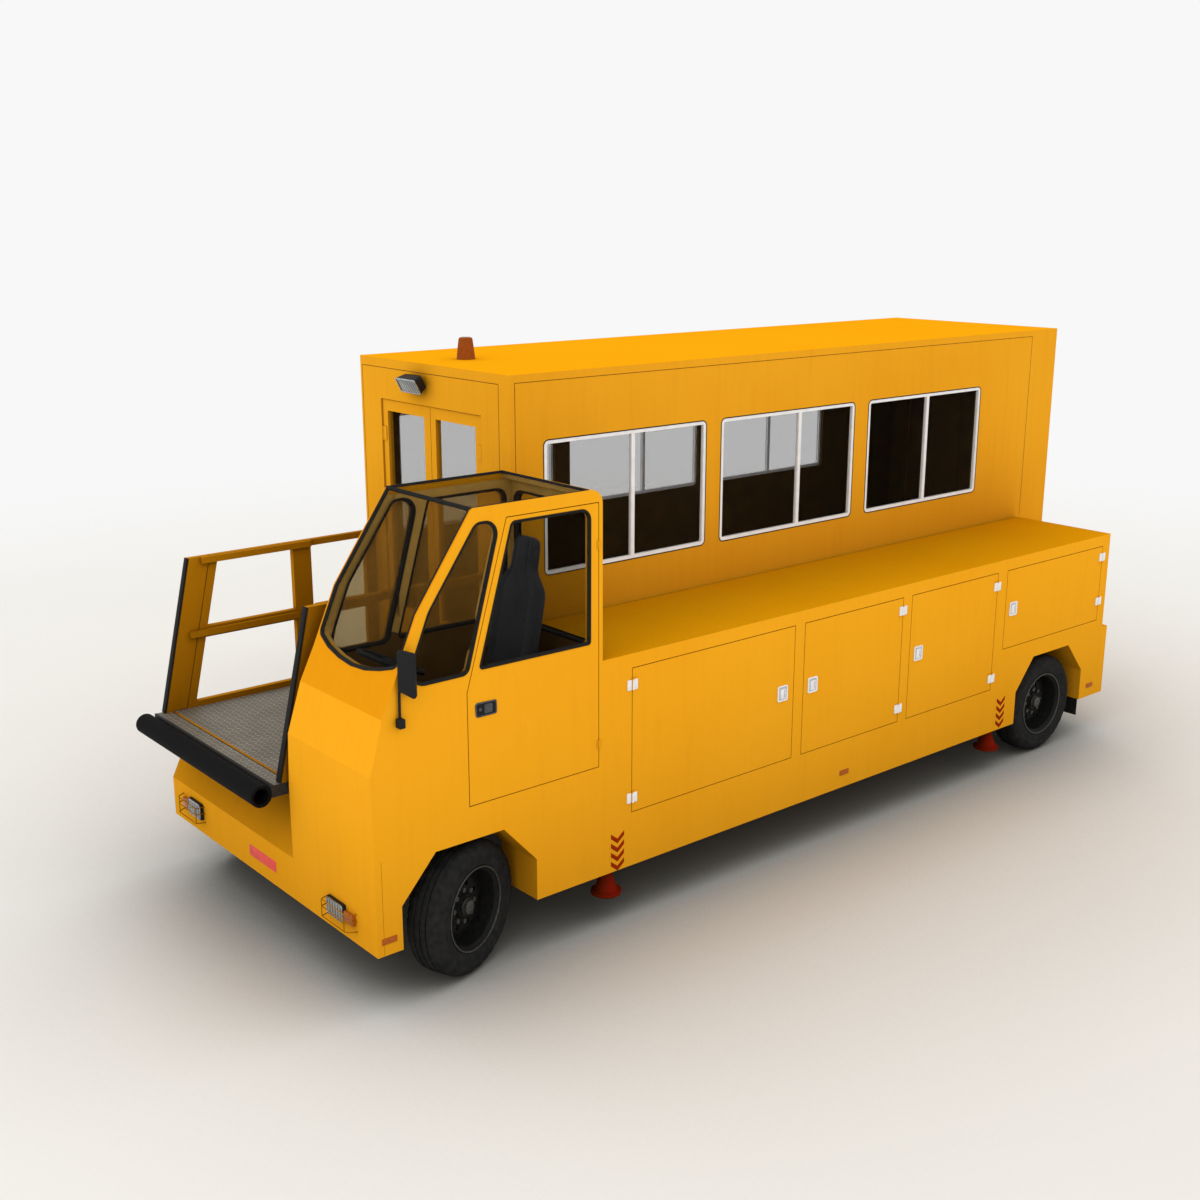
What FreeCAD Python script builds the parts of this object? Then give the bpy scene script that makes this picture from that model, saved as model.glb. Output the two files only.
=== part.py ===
import FreeCAD, Part
import math
import os

# Passenger lift truck: half-cab chassis, scissor lift, passenger cabin with a front
# platform and a sliding bridge.  Millimetres.  +X forward, +Y to the driver's side
# (left), +Z up.  The origin is on the ground, under the middle of the whole machine.

V = FreeCAD.Vector

# ---- driving dimensions ---------------------------------------------------------
FRONT_X = 3425.0          # flat of the front bumper
REAR_X = -3635.0          # back wall of the cabin
SIDE_Y = 1212.0           # outer skin on the driver's side
SKIRT_Y = -1235.0         # outer skin on the passenger side
SILL_Z = 328.0            # lower edge of the body skin
SKIN = 40.0               # thickness of body skins and locker doors
GAP = 5.0                 # running gap round every door

# lower body on the driver's side
BODY_REAR_X = -3247.0
BODY_TOP_Z = 1632.0
BODY_INNER_Y = 362.0      # inner wall beside the cabin
BUMPER_REAR_X = -3318.0
BUMPER_TOP_Z = 878.0
TOW_HOLE_R = 17.0
CAB_REAR_X = 1915.0

# wheels
TYRE_R = 378.0
TYRE_W = 225.0
RIM_R = 238.0
FRONT_AXLE_X = 2869.0
REAR_AXLE_X = -2558.0
KINGPIN_Y = 900.0
FRONT_FACE_Y = 1182.0     # outer rim edge of a front wheel running straight
REAR_FACE_Y = 1165.0      # outer rim edge of a rear wheel
STEER_REST = 20.3         # front wheels parked turned to the left, degrees

# wheel arches: half widths of the opening at the sill and at the flat top
ARCH_MID_Z = 575.0
ARCH_TOP_Z = 816.0
FRONT_ARCH = (2391.0, 2611.0, 3053.0, 3270.0)
REAR_ARCH = (-2995.0, -2785.0, -2323.0, -2121.0)

# cabin
CABIN_FRONT_X = 1894.0
CABIN_LEFT_Y = 345.0
CABIN_RIGHT_Y = -1300.0
CABIN_MID_Y = (CABIN_LEFT_Y + CABIN_RIGHT_Y) / 2
FLOOR_Z = 1018.0          # top of the cabin floor and of the platform
FLOOR_BOTTOM_Z = 958.0
ROOF_Z = 3137.0
ROOF_T = 50.0
WALL = 50.0
WINDOW_Z = (1913.0, 2735.0)
WINDOWS_X = (             # rear edge, front edge, middle bar
    (306.0, 1643.0, 937.0),
    (-1165.0, 166.0, -595.0),
    (-2650.0, -1319.0, -2002.0),
)
WINDOW_CORNER_R = 34.0
FRONT_DOOR_Y = (-1055.0, 55.0)
FRONT_DOOR_TOP_Z = 2871.0

# platform and bridge
DECK_FRONT_X = 3406.0     # seam between the fixed deck and the bridge
BRIDGE_FRONT_X = 3509.0
DECK_LEFT_Y = 298.0
DECK_RIGHT_Y = -1239.0
DECK_BOTTOM_Z = 948.0
RAIL_TOP_Z = 1979.0
RAIL_T = 40.0
ROLL_R = 62.5
ROLL_X = 3571.5
ROLL_Z = 970.0
BRIDGE_TRAVEL = 600.0

# scissor lift
PIVOT_X = -2650.0         # pinned ends of both pairs of arms
LOWER_PIVOT_Z = 775.0
UPPER_PIVOT_Z = 855.0
ARM_SPAN = 4300.0         # pin to roller, parked
ARM_H = 110.0
ARM_T = 60.0
INNER_ARM_Y = 330.0       # arm planes, measured from the cabin's middle plane
OUTER_ARM_Y = 410.0
PIN_R = 25.0
ROLLER_R = 50.0
ROLLER_OFFSET = 50.0      # roller beside its arm

# chassis
RAIL_Y = (380.0, 460.0)
RAIL_Z = (460.0, 640.0)

# cab
COWL_LEFT_Y = 338.0       # the cowl ends at the cab's lower right wall
CAB_RIGHT_Y = 400.0       # right wall above the belt line
CAB_FLOOR_Z = 900.0
CAB_TOP_Z = 2605.0
CAB_ROOF_R = 80.0         # round of the roof's rear edge
CAB_SIDE = ((FRONT_X, 1320.0), (3345.0, 1608.0), (3123.0, 2111.0), (2775.0, CAB_TOP_Z))

os.makedirs("parts", exist_ok=True)


# ---- helpers ---------------------------------------------------------------------
def box(x0, x1, y0, y1, z0, z1):
    lo = V(min(x0, x1), min(y0, y1), min(z0, z1))
    return Part.makeBox(abs(x1 - x0), abs(y1 - y0), abs(z1 - z0), lo)


def prism_y(points, y0, y1):
    """Outline of (x, z) points pushed along Y."""
    corners = [V(x, y0, z) for x, z in points]
    face = Part.Face(Part.makePolygon(corners + corners[:1]))
    return face.extrude(V(0, y1 - y0, 0))


def prism_x(points, x0, x1):
    """Outline of (y, z) points pushed along X."""
    corners = [V(x0, y, z) for y, z in points]
    face = Part.Face(Part.makePolygon(corners + corners[:1]))
    return face.extrude(V(x1 - x0, 0, 0))


def rounded(points, radii, steps=8):
    """Round the corners of an outline of (u, v) points; radii match the corners."""
    out = []
    count = len(points)
    for i in range(count):
        (u0, v0), (u1, v1), (u2, v2) = points[i - 1], points[i], points[(i + 1) % count]
        r = radii[i]
        if not r:
            out.append((u1, v1))
            continue
        a = V(u0 - u1, v0 - v1, 0).normalize()
        b = V(u2 - u1, v2 - v1, 0).normalize()
        half = a.getAngle(b) / 2
        reach = r / math.tan(half)
        middle = V(u1, v1, 0) + (a + b).normalize() * (r / math.sin(half))
        start = V(u1, v1, 0) + a * reach - middle
        turn = (math.pi - 2 * half) * (1 if a.cross(b).z < 0 else -1)
        for k in range(steps + 1):
            angle = turn * k / steps
            out.append((middle.x + start.x * math.cos(angle) - start.y * math.sin(angle),
                        middle.y + start.x * math.sin(angle) + start.y * math.cos(angle)))
    return out


def cyl_y(x, z, y0, y1, r):
    return Part.makeCylinder(r, y1 - y0, V(x, y0, z), V(0, 1, 0))


def cyl_z(x, y, z0, z1, r):
    return Part.makeCylinder(r, z1 - z0, V(x, y, z0))


def fuse(shapes):
    first, rest = shapes[0], shapes[1:]
    return first.fuse(rest).removeSplitter() if rest else first


def cut(shape, *tools):
    for tool in tools:
        shape = shape.cut(tool)
    return shape


def revolve_y(points, x, z):
    """Profile of (radius, y) points turned about the line through (x, z) along Y."""
    corners = [V(x + r, y, z) for r, y in points]
    face = Part.Face(Part.makePolygon(corners + corners[:1]))
    return face.revolve(V(x, 0, z), V(0, 1, 0), 360)


def revolve_z(points, x, y):
    """Profile of (radius, z) points turned about the line through (x, y) along Z."""
    corners = [V(x + r, y, z) for r, z in points]
    face = Part.Face(Part.makePolygon(corners + corners[:1]))
    return face.revolve(V(x, y, 0), V(0, 0, 1), 360)


def rounded_y(x0, x1, z0, z1, y0, y1, r):
    """Rectangle in X and Z with round corners, pushed along Y."""
    solid = box(x0, x1, y0, y1, z0, z1)
    edges = [e for e in solid.Edges if abs(e.tangentAt(e.FirstParameter).y) > 0.99]
    return solid.makeFillet(r, edges)


def turned(shape, degrees, x, y):
    copy = shape.copy()
    copy.rotate(V(x, y, 0), V(0, 0, 1), degrees)
    return copy


def save(name, *shapes):
    whole = shapes[0] if len(shapes) == 1 else Part.makeCompound(list(shapes))
    whole.exportStep("parts/%s.step" % name)


def inset(points, d):
    """Move each edge of a counter-clockwise outline inward by d."""
    out = []
    count = len(points)
    for i in range(count):
        (x0, z0), (x1, z1), (x2, z2) = points[i - 1], points[i], points[(i + 1) % count]
        a = math.hypot(x1 - x0, z1 - z0)
        b = math.hypot(x2 - x1, z2 - z1)
        n1 = (-(z1 - z0) / a, (x1 - x0) / a)
        n2 = (-(z2 - z1) / b, (x2 - x1) / b)
        k = d / (1 + n1[0] * n2[0] + n1[1] * n2[1])
        out.append((x1 + k * (n1[0] + n2[0]), z1 + k * (n1[1] + n2[1])))
    return out


def arch_points(arch, grow=0.0):
    a, b, c, d = arch
    low = SILL_Z - 40
    return [(a - grow, low), (d + grow, low), (d + grow, ARCH_MID_Z), (c + grow, ARCH_TOP_Z + grow),
            (b - grow, ARCH_TOP_Z + grow), (a - grow, ARCH_MID_Z)]


def arch_liner(arch, y0, y1, sheet=12.0):
    """Folded sheet that lines a wheel arch from the skin inward, open at the sill."""
    shell = prism_y(arch_points(arch, sheet), y0, y1)
    hollow = prism_y(arch_points(arch), y0 - 1, y1 + 1)
    below = box(arch[0] - 99, arch[3] + 99, y0 - 1, y1 + 1, SILL_Z - 99, SILL_Z)
    return cut(shell, hollow, below)


# ---- chassis ---------------------------------------------------------------------
FRAME_FRONT_X = 3340.0
FRAME_REAR_X = BUMPER_REAR_X + 30.0
CAB_MOUNT_X = (2070.0, 3300.0)
CROSS_X = (-3150.0, -1939.0, -900.0, 300.0, 1803.0, 2300.0, 3280.0)
JACK_X = (1803.0, -1939.0)
JACK_Y = 1110.0
JACK_TUBE = 120.0
JACK_LEG_R = 36.0


def scissor_y(offset):
    """Middle planes of a pair of arms, left then right."""
    return (CABIN_MID_Y + offset, CABIN_MID_Y - offset)


def chassis_frame():
    z0, z1 = RAIL_Z
    parts = []
    for side in (1, -1):
        y0, y1 = side * RAIL_Y[0], side * RAIL_Y[1]
        parts.append(box(FRAME_REAR_X, FRAME_FRONT_X, y0, y1, z0, z1))
        parts.append(box(FRAME_FRONT_X, FRONT_X - SKIN, y0, y1, z0, 560))
    for x in CROSS_X:
        parts.append(box(x - 40, x + 40, -RAIL_Y[0], RAIL_Y[0], z0 + 30, z1 - 20))
    # posts and cross arms that carry the cab floor
    for x in CAB_MOUNT_X:
        parts.append(box(x - 35, x + 35, RAIL_Y[0], RAIL_Y[1], z1, CAB_FLOOR_Z - 45))
        parts.append(box(x - 35, x + 35, RAIL_Y[0], SIDE_Y - SKIN, CAB_FLOOR_Z - 100, CAB_FLOOR_Z - 45))
    # bars that carry the mudflaps
    for side in (1, -1):
        parts.append(box(-3070, -3040, side * RAIL_Y[1], side * 1150, 590, 620))
    return fuse(parts)


def lift_foot():
    """Cross beams on top of the frame rails, with lugs and running bars for the arms."""
    top = RAIL_Z[1] + 60
    far = PIVOT_X + ARM_SPAN
    parts = [box(x - 50, x + 50, -920, 350, RAIL_Z[1], top) for x in (PIVOT_X, far, far - 1120)]
    for y, sign in zip(scissor_y(OUTER_ARM_Y), (1, -1)):
        mid = y + sign * ROLLER_OFFSET
        parts.append(box(far - 1170, far + 60, mid - 22, mid + 22, top, LOWER_PIVOT_Z - ROLLER_R - GAP))
    for y, sign in zip(scissor_y(INNER_ARM_Y), (-1, 1)):
        a, b = sorted((y + sign * 35, y + sign * 60))
        lug = box(PIVOT_X - 50, PIVOT_X + 50, a, b, top, LOWER_PIVOT_Z + 45)
        parts.append(cut(lug, cyl_y(PIVOT_X, LOWER_PIVOT_Z, a - 1, b + 1, PIN_R + 0.5)))
    # the running bars tie the two front beams; a bar on each side ties the rear one
    for mid in (-700, -255):
        parts.append(box(PIVOT_X, far, mid - 25, mid + 25, RAIL_Z[1], top))
    return fuse(parts)


def jack_tubes():
    """Square guide tubes on short outriggers from the frame rails."""
    tubes = []
    for x in JACK_X:
        for side in (1, -1):
            near, far = side * RAIL_Y[1], side * (JACK_Y - JACK_TUBE / 2)
            y0, y1 = side * (JACK_Y - JACK_TUBE / 2), side * (JACK_Y + JACK_TUBE / 2)
            tube = box(x - 60, x + 60, y0, y1, 345, 635)
            tube = tube.fuse(box(x - 40, x + 40, near, far, 480, 600))
            tubes.append(cut(tube, cyl_z(x, side * JACK_Y, 300, 625, JACK_LEG_R + 2)))
    return tubes


def jack_leg(x, y):
    """Round leg with a flared foot and a rim."""
    foot = revolve_z([(0, 150), (88, 150), (92, 156), (92, 170), (70, 178), (46, 240), (40, 262),
                      (40, 290), (0, 290)], x, y)
    return fuse([cyl_z(x, y, 285, 600, JACK_LEG_R), foot])


def axles():
    """Front beam with kingpin bosses and rear tube with its springs' seats."""
    front = [box(FRONT_AXLE_X - 45, FRONT_AXLE_X + 45, -780, 780, 330, 430)]
    for side in (1, -1):
        front.append(box(FRONT_AXLE_X - 45, FRONT_AXLE_X + 45, side * 780, side * (KINGPIN_Y + 45), 415, 450))
        front.append(box(FRONT_AXLE_X - 45, FRONT_AXLE_X + 45, side * 780, side * (KINGPIN_Y + 45), 305, 340))
        front.append(box(FRONT_AXLE_X - 45, FRONT_AXLE_X + 45, side * 760, side * 800, 305, 450))
        front.append(box(FRONT_AXLE_X - 50, FRONT_AXLE_X + 50, side * 380, side * 460, 430, RAIL_Z[0]))
    spindle_y = REAR_FACE_Y - HUB_FACE_DEPTH - 20
    rear = [cyl_y(REAR_AXLE_X, TYRE_R, -900, 900, 60),
            cyl_y(REAR_AXLE_X, TYRE_R, -spindle_y, spindle_y, SPINDLE_R)]
    rear.append(Part.makeSphere(170, V(REAR_AXLE_X, 0, TYRE_R)))
    for side in (1, -1):
        rear.append(box(REAR_AXLE_X - 70, REAR_AXLE_X + 70, side * 380, side * 460, TYRE_R, RAIL_Z[0]))
    front_beam = fuse(front)
    for side in (1, -1):
        front_beam = front_beam.cut(cyl_z(FRONT_AXLE_X, side * KINGPIN_Y, 290, 470, 20.5))
    return front_beam, fuse(rear)


def knuckle(side):
    """Kingpin, yoke block and stub axle of one front wheel, running straight."""
    x, y = FRONT_AXLE_X, side * KINGPIN_Y
    block = box(x - 40, x + 40, y - 40, y + 40, 345, 410)
    pin = cyl_z(x, y, 300, 455, 20)
    y0, y1 = sorted((y, side * (FRONT_FACE_Y - HUB_FACE_DEPTH - 20)))
    stub = cyl_y(x, TYRE_R, y0, y1, SPINDLE_R)
    arm = box(x - 190, x - 30, y - 25, y + 25, 350, 380)
    return fuse([block, pin, stub, arm])


# ---- wheels ----------------------------------------------------------------------
HUB_FACE_DEPTH = 95.0     # hub face behind the outer rim edge
SPINDLE_R = 29.5


def tyre(x, side, face_y):
    """Radial tyre with rounded shoulders; its outer rim edge is at face_y."""
    half = TYRE_W / 2
    mid = face_y - half + 8
    shape = [(RIM_R - 14, -half + 40), (RIM_R + 6, -half + 12), (RIM_R + 40, -half + 2), (TYRE_R - 60, -half),
             (TYRE_R - 22, -half + 14), (TYRE_R - 5, -half + 34), (TYRE_R, -half + 60)]
    full = shape + [(r, -y) for r, y in reversed(shape)]
    return revolve_y([(r, side * (mid + y)) for r, y in full], x, TYRE_R)


def rim(x, side, face_y):
    """Deep dish steel rim with hand holes and a hub that turns on a spindle."""
    web = face_y - HUB_FACE_DEPTH
    inner = face_y - TYRE_W + 8
    outline = [(0, web + 18), (62, web + 18), (70, web), (150, web - 4), (195, web - 30), (206, web - 30),
               (212, face_y - 25), (RIM_R - 10, face_y - 8), (RIM_R - 6, face_y), (RIM_R, face_y),
               (RIM_R, face_y - 8), (222, face_y - 30), (220, inner + 28), (RIM_R, inner + 12),
               (RIM_R, inner + 4), (RIM_R - 8, inner + 4), (212, inner + 26), (212, web - 50),
               (195, web - 50), (150, web - 22), (62, web - 20), (62, web - 70), (SPINDLE_R + 0.5, web - 70),
               (SPINDLE_R + 0.5, web - 15), (0, web - 15)]
    body = revolve_y([(r, side * y) for r, y in outline], x, TYRE_R)
    for i in range(8):
        a = math.radians(45 * i + 22.5)
        y0, y1 = sorted((side * (web - 90), side * (web + 20)))
        hole = cyl_y(x + 125 * math.cos(a), TYRE_R + 125 * math.sin(a), y0, y1, 17)
        body = body.cut(hole)
    y0, y1 = sorted((side * (web + 10), side * (web + 52)))
    return body.fuse(cyl_y(x, TYRE_R, y0, y1, 42))


# ---- front cowl, skirt, bumpers -----------------------------------------------------
CHAMFER_Z = 578.0
COWL_TOP = (3265.0, 910.0)


def front_cowl():
    """Bumper shell across the whole width, with the sloped apron beside the cab."""
    outer = [(3180, SILL_Z), (FRONT_X, SILL_Z), (FRONT_X, CHAMFER_Z), COWL_TOP, (3180, COWL_TOP[1])]
    inner = [(3100, SILL_Z - 1), (FRONT_X - SKIN, SILL_Z - 1), (FRONT_X - SKIN, CHAMFER_Z - 9),
             (COWL_TOP[0] - SKIN - 3, COWL_TOP[1] - SKIN), (3100, COWL_TOP[1] - SKIN)]
    apron = prism_y(outer, SKIRT_Y, COWL_LEFT_Y)
    apron = apron.cut(prism_y(inner, SKIRT_Y + SKIN, COWL_LEFT_Y + 1))
    apron = apron.cut(prism_y(arch_points(FRONT_ARCH), SKIRT_Y - 1, SKIRT_Y + SKIN + 1))
    front = box(FRONT_X - SKIN, FRONT_X, COWL_LEFT_Y, SIDE_Y, SILL_Z, CAB_FLOOR_Z - 45)
    return fuse([apron, front])


def right_skirt():
    """Lower side panel on the passenger side, with both wheel arches."""
    y0, y1 = SKIRT_Y, SKIRT_Y + SKIN
    panel = box(BODY_REAR_X, 3180, y0, y1, SILL_Z, BUMPER_TOP_Z)
    for arch in (FRONT_ARCH, REAR_ARCH):
        panel = panel.cut(prism_y(arch_points(arch), y0 - 1, y1 + 1))
    return panel


def skirt_hangers():
    """Flat bars from the frame rail that carry the passenger-side skirt."""
    return [box(x - 30, x + 30, SKIRT_Y + SKIN, -RAIL_Y[1], 560, 600) for x in (-1500, -400, 900, 2200)]


def rear_bumper():
    """Boxed step bumper across the rear."""
    outer = box(BUMPER_REAR_X, BODY_REAR_X, SKIRT_Y, SIDE_Y, SILL_Z, BUMPER_TOP_Z)
    recess = box(BUMPER_REAR_X + 30, BODY_REAR_X + 1, SKIRT_Y + SKIN, SIDE_Y - SKIN,
                 SILL_Z - 1, BUMPER_TOP_Z - 30)
    eye = box(BUMPER_REAR_X - 75, BUMPER_REAR_X + 5, -50, 50, 430, 454)
    eye = eye.cut(cyl_z(BUMPER_REAR_X - 42, 0, 429, 455, TOW_HOLE_R))
    return fuse([outer.cut(recess), eye])


# ---- locker body ---------------------------------------------------------------------
LOCKER_DOORS = (            # front x, rear x, bottom z, hinge at the front, lower hinge z
    (1692.0, 340.0, 668.0, True, 760.0),
    (244.0, -724.0, 668.0, False, 760.0),
    (-822.0, -1790.0, 668.0, False, 760.0),
    (-1912.0, -3150.0, 954.0, False, 1107.0),
)
LOCKER_TOP_Z = 1543.0
HINGE_R = 5.0
HINGE_OUT = 6.0           # hinge line outside the skin
LOCKER_FLOOR_Z = 640.0


def locker_skin():
    """Outer skin on the driver's side behind the cab, with the four door openings."""
    x0, x1 = BODY_REAR_X, CAB_REAR_X
    skin = box(x0, x1, SIDE_Y - SKIN, SIDE_Y, SILL_Z, BODY_TOP_Z)
    skin = skin.cut(prism_y(arch_points(REAR_ARCH), SIDE_Y - SKIN - 1, SIDE_Y + 1))
    for front, rear, bottom, _, _ in LOCKER_DOORS:
        skin = skin.cut(box(rear - GAP, front + GAP, SIDE_Y - SKIN - 1, SIDE_Y + 1,
                            bottom - GAP, LOCKER_TOP_Z + GAP))
    return skin


def locker_frame():
    """Top ledge, inner and end walls, floors and the three walls between lockers."""
    x0, x1 = BODY_REAR_X, CAB_REAR_X - 5
    inner, outer = BODY_INNER_Y, SIDE_Y - SKIN
    parts = [box(x0, x1, inner, outer, BODY_TOP_Z - 30, BODY_TOP_Z),
             box(x0, x1, inner, inner + 20, LOCKER_FLOOR_Z, BODY_TOP_Z),
             box(x0, x0 + 20, inner, outer, BUMPER_TOP_Z - 50, BODY_TOP_Z),
             box(x1 - 20, x1, inner, outer, LOCKER_FLOOR_Z, BODY_TOP_Z),
             box(-1850, x1, inner, outer, LOCKER_FLOOR_Z, LOCKER_FLOOR_Z + 18),
             box(x0, -1850, inner, outer, 905, 923)]
    for x in (292, -773, -1860):
        parts.append(box(x - 10, x + 10, inner, outer, LOCKER_FLOOR_Z, BODY_TOP_Z))
    return fuse(parts)


def arch_liners():
    """Folded sheets inside the two rear arches and behind the front wheel at the left."""
    left = arch_liner(REAR_ARCH, 880, SIDE_Y - SKIN)
    right = arch_liner(REAR_ARCH, SKIRT_Y + SKIN, -965)
    front = arch_liner(FRONT_ARCH, 880, SIDE_Y - SKIN)
    front = front.common(box(FRONT_ARCH[0] - 50, FRONT_ARCH[1] + 150, 800, SIDE_Y, SILL_Z, CAB_FLOOR_Z - 45))
    return [left, right, front]


def side_hinges(edge_x, inward, heights, leaf=34, half=35):
    """Barrels on the hinge line outside the skin, each with the plate that holds it on its door."""
    parts = []
    for z in heights:
        parts.append(cyl_z(edge_x - inward * GAP / 2, SIDE_Y + HINGE_OUT, z - half, z + half, HINGE_R))
        parts.append(box(edge_x - inward, edge_x + inward * leaf, SIDE_Y, SIDE_Y + 4, z - half, z + half))
    return parts


def locker_door(front, rear, bottom, hinge_front, low_hinge_z):
    edge, inward = (front, -1) if hinge_front else (rear, 1)
    panel = box(rear, front, SIDE_Y - SKIN, SIDE_Y, bottom, LOCKER_TOP_Z)
    return fuse([panel] + side_hinges(edge, inward, (low_hinge_z, LOCKER_TOP_Z - 92)))


# ---- cab -------------------------------------------------------------------------------
CAB_DOOR = ((1946.0, 1012.0), (2829.0, 1012.0), (2829.0, 1639.0), (2559.0, 2530.0), (1946.0, 2530.0))
DOOR_WINDOW = rounded(((2007.0, 1750.0), (2747.0, 1756.0), (2526.0, 2503.0), (2004.0, 2503.0)),
                      (14, 14, 30, 60))
QUARTER_WINDOW = rounded(((2826.0, 1743.0), (3205.0, 1743.0), (3050.0, 2111.0), (2753.0, 2525.0),
                          (2603.0, 2525.0)), (45, 80, 200, 62, 70))
SCREEN = rounded(((421.0, 1868.0), (540.0, 1822.0), (670.0, 1796.0), (800.0, 1785.0), (930.0, 1792.0),
                  (1060.0, 1818.0), (1191.0, 1856.0), (1191.0, 2598.0), (421.0, 2598.0)),
                 (45, 0, 0, 0, 0, 0, 45, 14, 14))
REAR_WINDOW = rounded(((470.0, 1720.0), (1140.0, 1720.0), (1140.0, 2490.0), (470.0, 2490.0)),
                      (60, 60, 60, 60))
ROOF_PANE = (2000.0, 2768.0, 412.0, 1198.0)
GLASS = 8.0
GLASS_DEPTH = 12.0


def cab_outline():
    """Side view of the cab from the floor up, with the round at the roof's rear."""
    corners = [(CAB_REAR_X, CAB_FLOOR_Z - 45), (FRONT_X, CAB_FLOOR_Z - 45)] + list(CAB_SIDE)
    corners.append((CAB_REAR_X, CAB_TOP_Z))
    return corners


def cab_form(depth, rear_round):
    """Solid of the cab's outer form, moved inward by depth on every side."""
    side = inset(cab_outline(), depth) if depth else cab_outline()
    side = rounded(side, [0] * (len(side) - 1) + [rear_round])
    low, belt = COWL_LEFT_Y + depth, CAB_RIGHT_Y + depth
    section = [(low, 800), (SIDE_Y - depth, 800), (SIDE_Y - depth, 2700),
               (belt, 2700), (belt, 1800), (low, 1000)]
    return prism_y(side, low - 1, SIDE_Y).common(prism_x(section, CAB_REAR_X - 1, FRONT_X + 1))


def screen_slab(start, depth):
    """Part of the cab's form between two depths, in front of the windscreen opening."""
    slab = cab_form(start, CAB_ROOF_R).cut(cab_form(depth, CAB_ROOF_R - 30))
    return slab.common(prism_x(SCREEN, ROOF_PANE[1] + 2, FRONT_X))


def cab_shell():
    y1 = SIDE_Y
    shell = cab_form(0, CAB_ROOF_R).cut(cab_form(SKIN, CAB_ROOF_R - SKIN))
    door = inset(CAB_DOOR, -GAP)
    shell = shell.cut(prism_y(door, y1 - SKIN - 1, y1 + 1))
    shell = shell.cut(prism_y(QUARTER_WINDOW, 300, y1 + 1))
    shell = shell.cut(prism_y(DOOR_WINDOW, 300, CAB_RIGHT_Y + SKIN + 1))
    shell = shell.cut(prism_x(REAR_WINDOW, CAB_REAR_X - 1, CAB_REAR_X + SKIN + 1))
    opening = cab_form(0, CAB_ROOF_R).cut(cab_form(SKIN + 6, CAB_ROOF_R - SKIN))
    shell = shell.cut(opening.common(prism_x(SCREEN, 2740, FRONT_X + 1)))
    x0, x1, ya, yb = ROOF_PANE
    shell = shell.cut(box(x0, x1, ya, yb, CAB_TOP_Z - SKIN - 6, CAB_TOP_Z + 1))
    # skin below the floor, round the front arch
    low = box(CAB_REAR_X, FRONT_X - SKIN - 2, y1 - SKIN, y1, SILL_Z, CAB_FLOOR_Z - 45)
    low = low.cut(prism_y(arch_points(FRONT_ARCH), y1 - SKIN - 1, y1 + 1))
    return fuse([shell, low])


def cab_glass():
    """Windscreen, roof pane, quarter lights, right window and rear window."""
    right, left = CAB_RIGHT_Y + GLASS_DEPTH, SIDE_Y - GLASS_DEPTH
    x0, x1, ya, yb = ROOF_PANE
    top = CAB_TOP_Z - GLASS_DEPTH
    rear = CAB_REAR_X + GLASS_DEPTH
    screen = screen_slab(GLASS_DEPTH, GLASS_DEPTH + GLASS)
    return [screen, box(x0, x1, ya, yb, top - GLASS, top),
            prism_y(QUARTER_WINDOW, right, right + GLASS), prism_y(QUARTER_WINDOW, left - GLASS, left),
            prism_y(DOOR_WINDOW, right, right + GLASS), prism_x(REAR_WINDOW, rear, rear + GLASS)]


def cab_door():
    panel = prism_y(CAB_DOOR, SIDE_Y - SKIN, SIDE_Y)
    panel = panel.cut(prism_y(DOOR_WINDOW, SIDE_Y - SKIN - 1, SIDE_Y + 1))
    return fuse([panel] + side_hinges(CAB_DOOR[0][0], 1, (1150, 2300), 10, 24))


def cab_door_glass():
    return prism_y(DOOR_WINDOW, SIDE_Y - GLASS_DEPTH - GLASS, SIDE_Y - GLASS_DEPTH)


SEAT_Y = 770.0
DASH_TOP_Z = 1560.0
WHEEL_R = 180.0
WHEEL_LEAN = 25.0


def dashboard():
    outline = [(2980, CAB_FLOOR_Z - 5), (3380, CAB_FLOOR_Z - 5), (3380, 1322), (3312, DASH_TOP_Z),
               (3040, DASH_TOP_Z), (2980, 1500)]
    return prism_y(outline, CAB_RIGHT_Y + SKIN, SIDE_Y - SKIN)


def steering_wheel():
    """Rim, three spokes and column, leaning back from the dashboard."""
    ring = Part.makeTorus(WHEEL_R, 14)
    hub = Part.makeCylinder(45, 40, V(0, 0, -30))
    column = Part.makeCylinder(28, 300, V(0, 0, -310))
    spokes = [Part.makeBox(WHEEL_R - 8, 30, 12, V(0, -15, -12)) for _ in range(3)]
    for i, spoke in enumerate(spokes):
        spoke.rotate(V(0, 0, 0), V(0, 0, 1), 120 * i + 90)
    whole = fuse([ring, hub, column] + spokes)
    whole.rotate(V(0, 0, 0), V(0, 1, 0), -WHEEL_LEAN)
    whole.translate(V(3010, SEAT_Y, 1740))
    return whole.cut(box(2900, 3400, SEAT_Y - 99, SEAT_Y + 99, 1300, DASH_TOP_Z))


def seat_base():
    return box(2180, 2560, SEAT_Y - 170, SEAT_Y + 170, CAB_FLOOR_Z - 5, 1235)


def seat_cushions():
    """Seat cushion, and a high back that narrows to its own head rest."""
    cushion = rounded_y(2190, 2680, 1235, 1375, SEAT_Y - 235, SEAT_Y + 235, 50)
    back = rounded(((-205, 0), (205, 0), (205, 610), (90, 760),
                    (90, 915), (-90, 915), (-90, 760), (-205, 610)),
                   (40, 40, 60, 60, 50, 50, 60, 60))
    back = prism_x(back, 0, 90)
    back.rotate(V(0, 0, 0), V(0, 1, 0), -11)
    back.translate(V(2215, SEAT_Y, 1385))
    return cushion, back


MIRROR_TURN = 45.0        # head turned back from straight across


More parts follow.
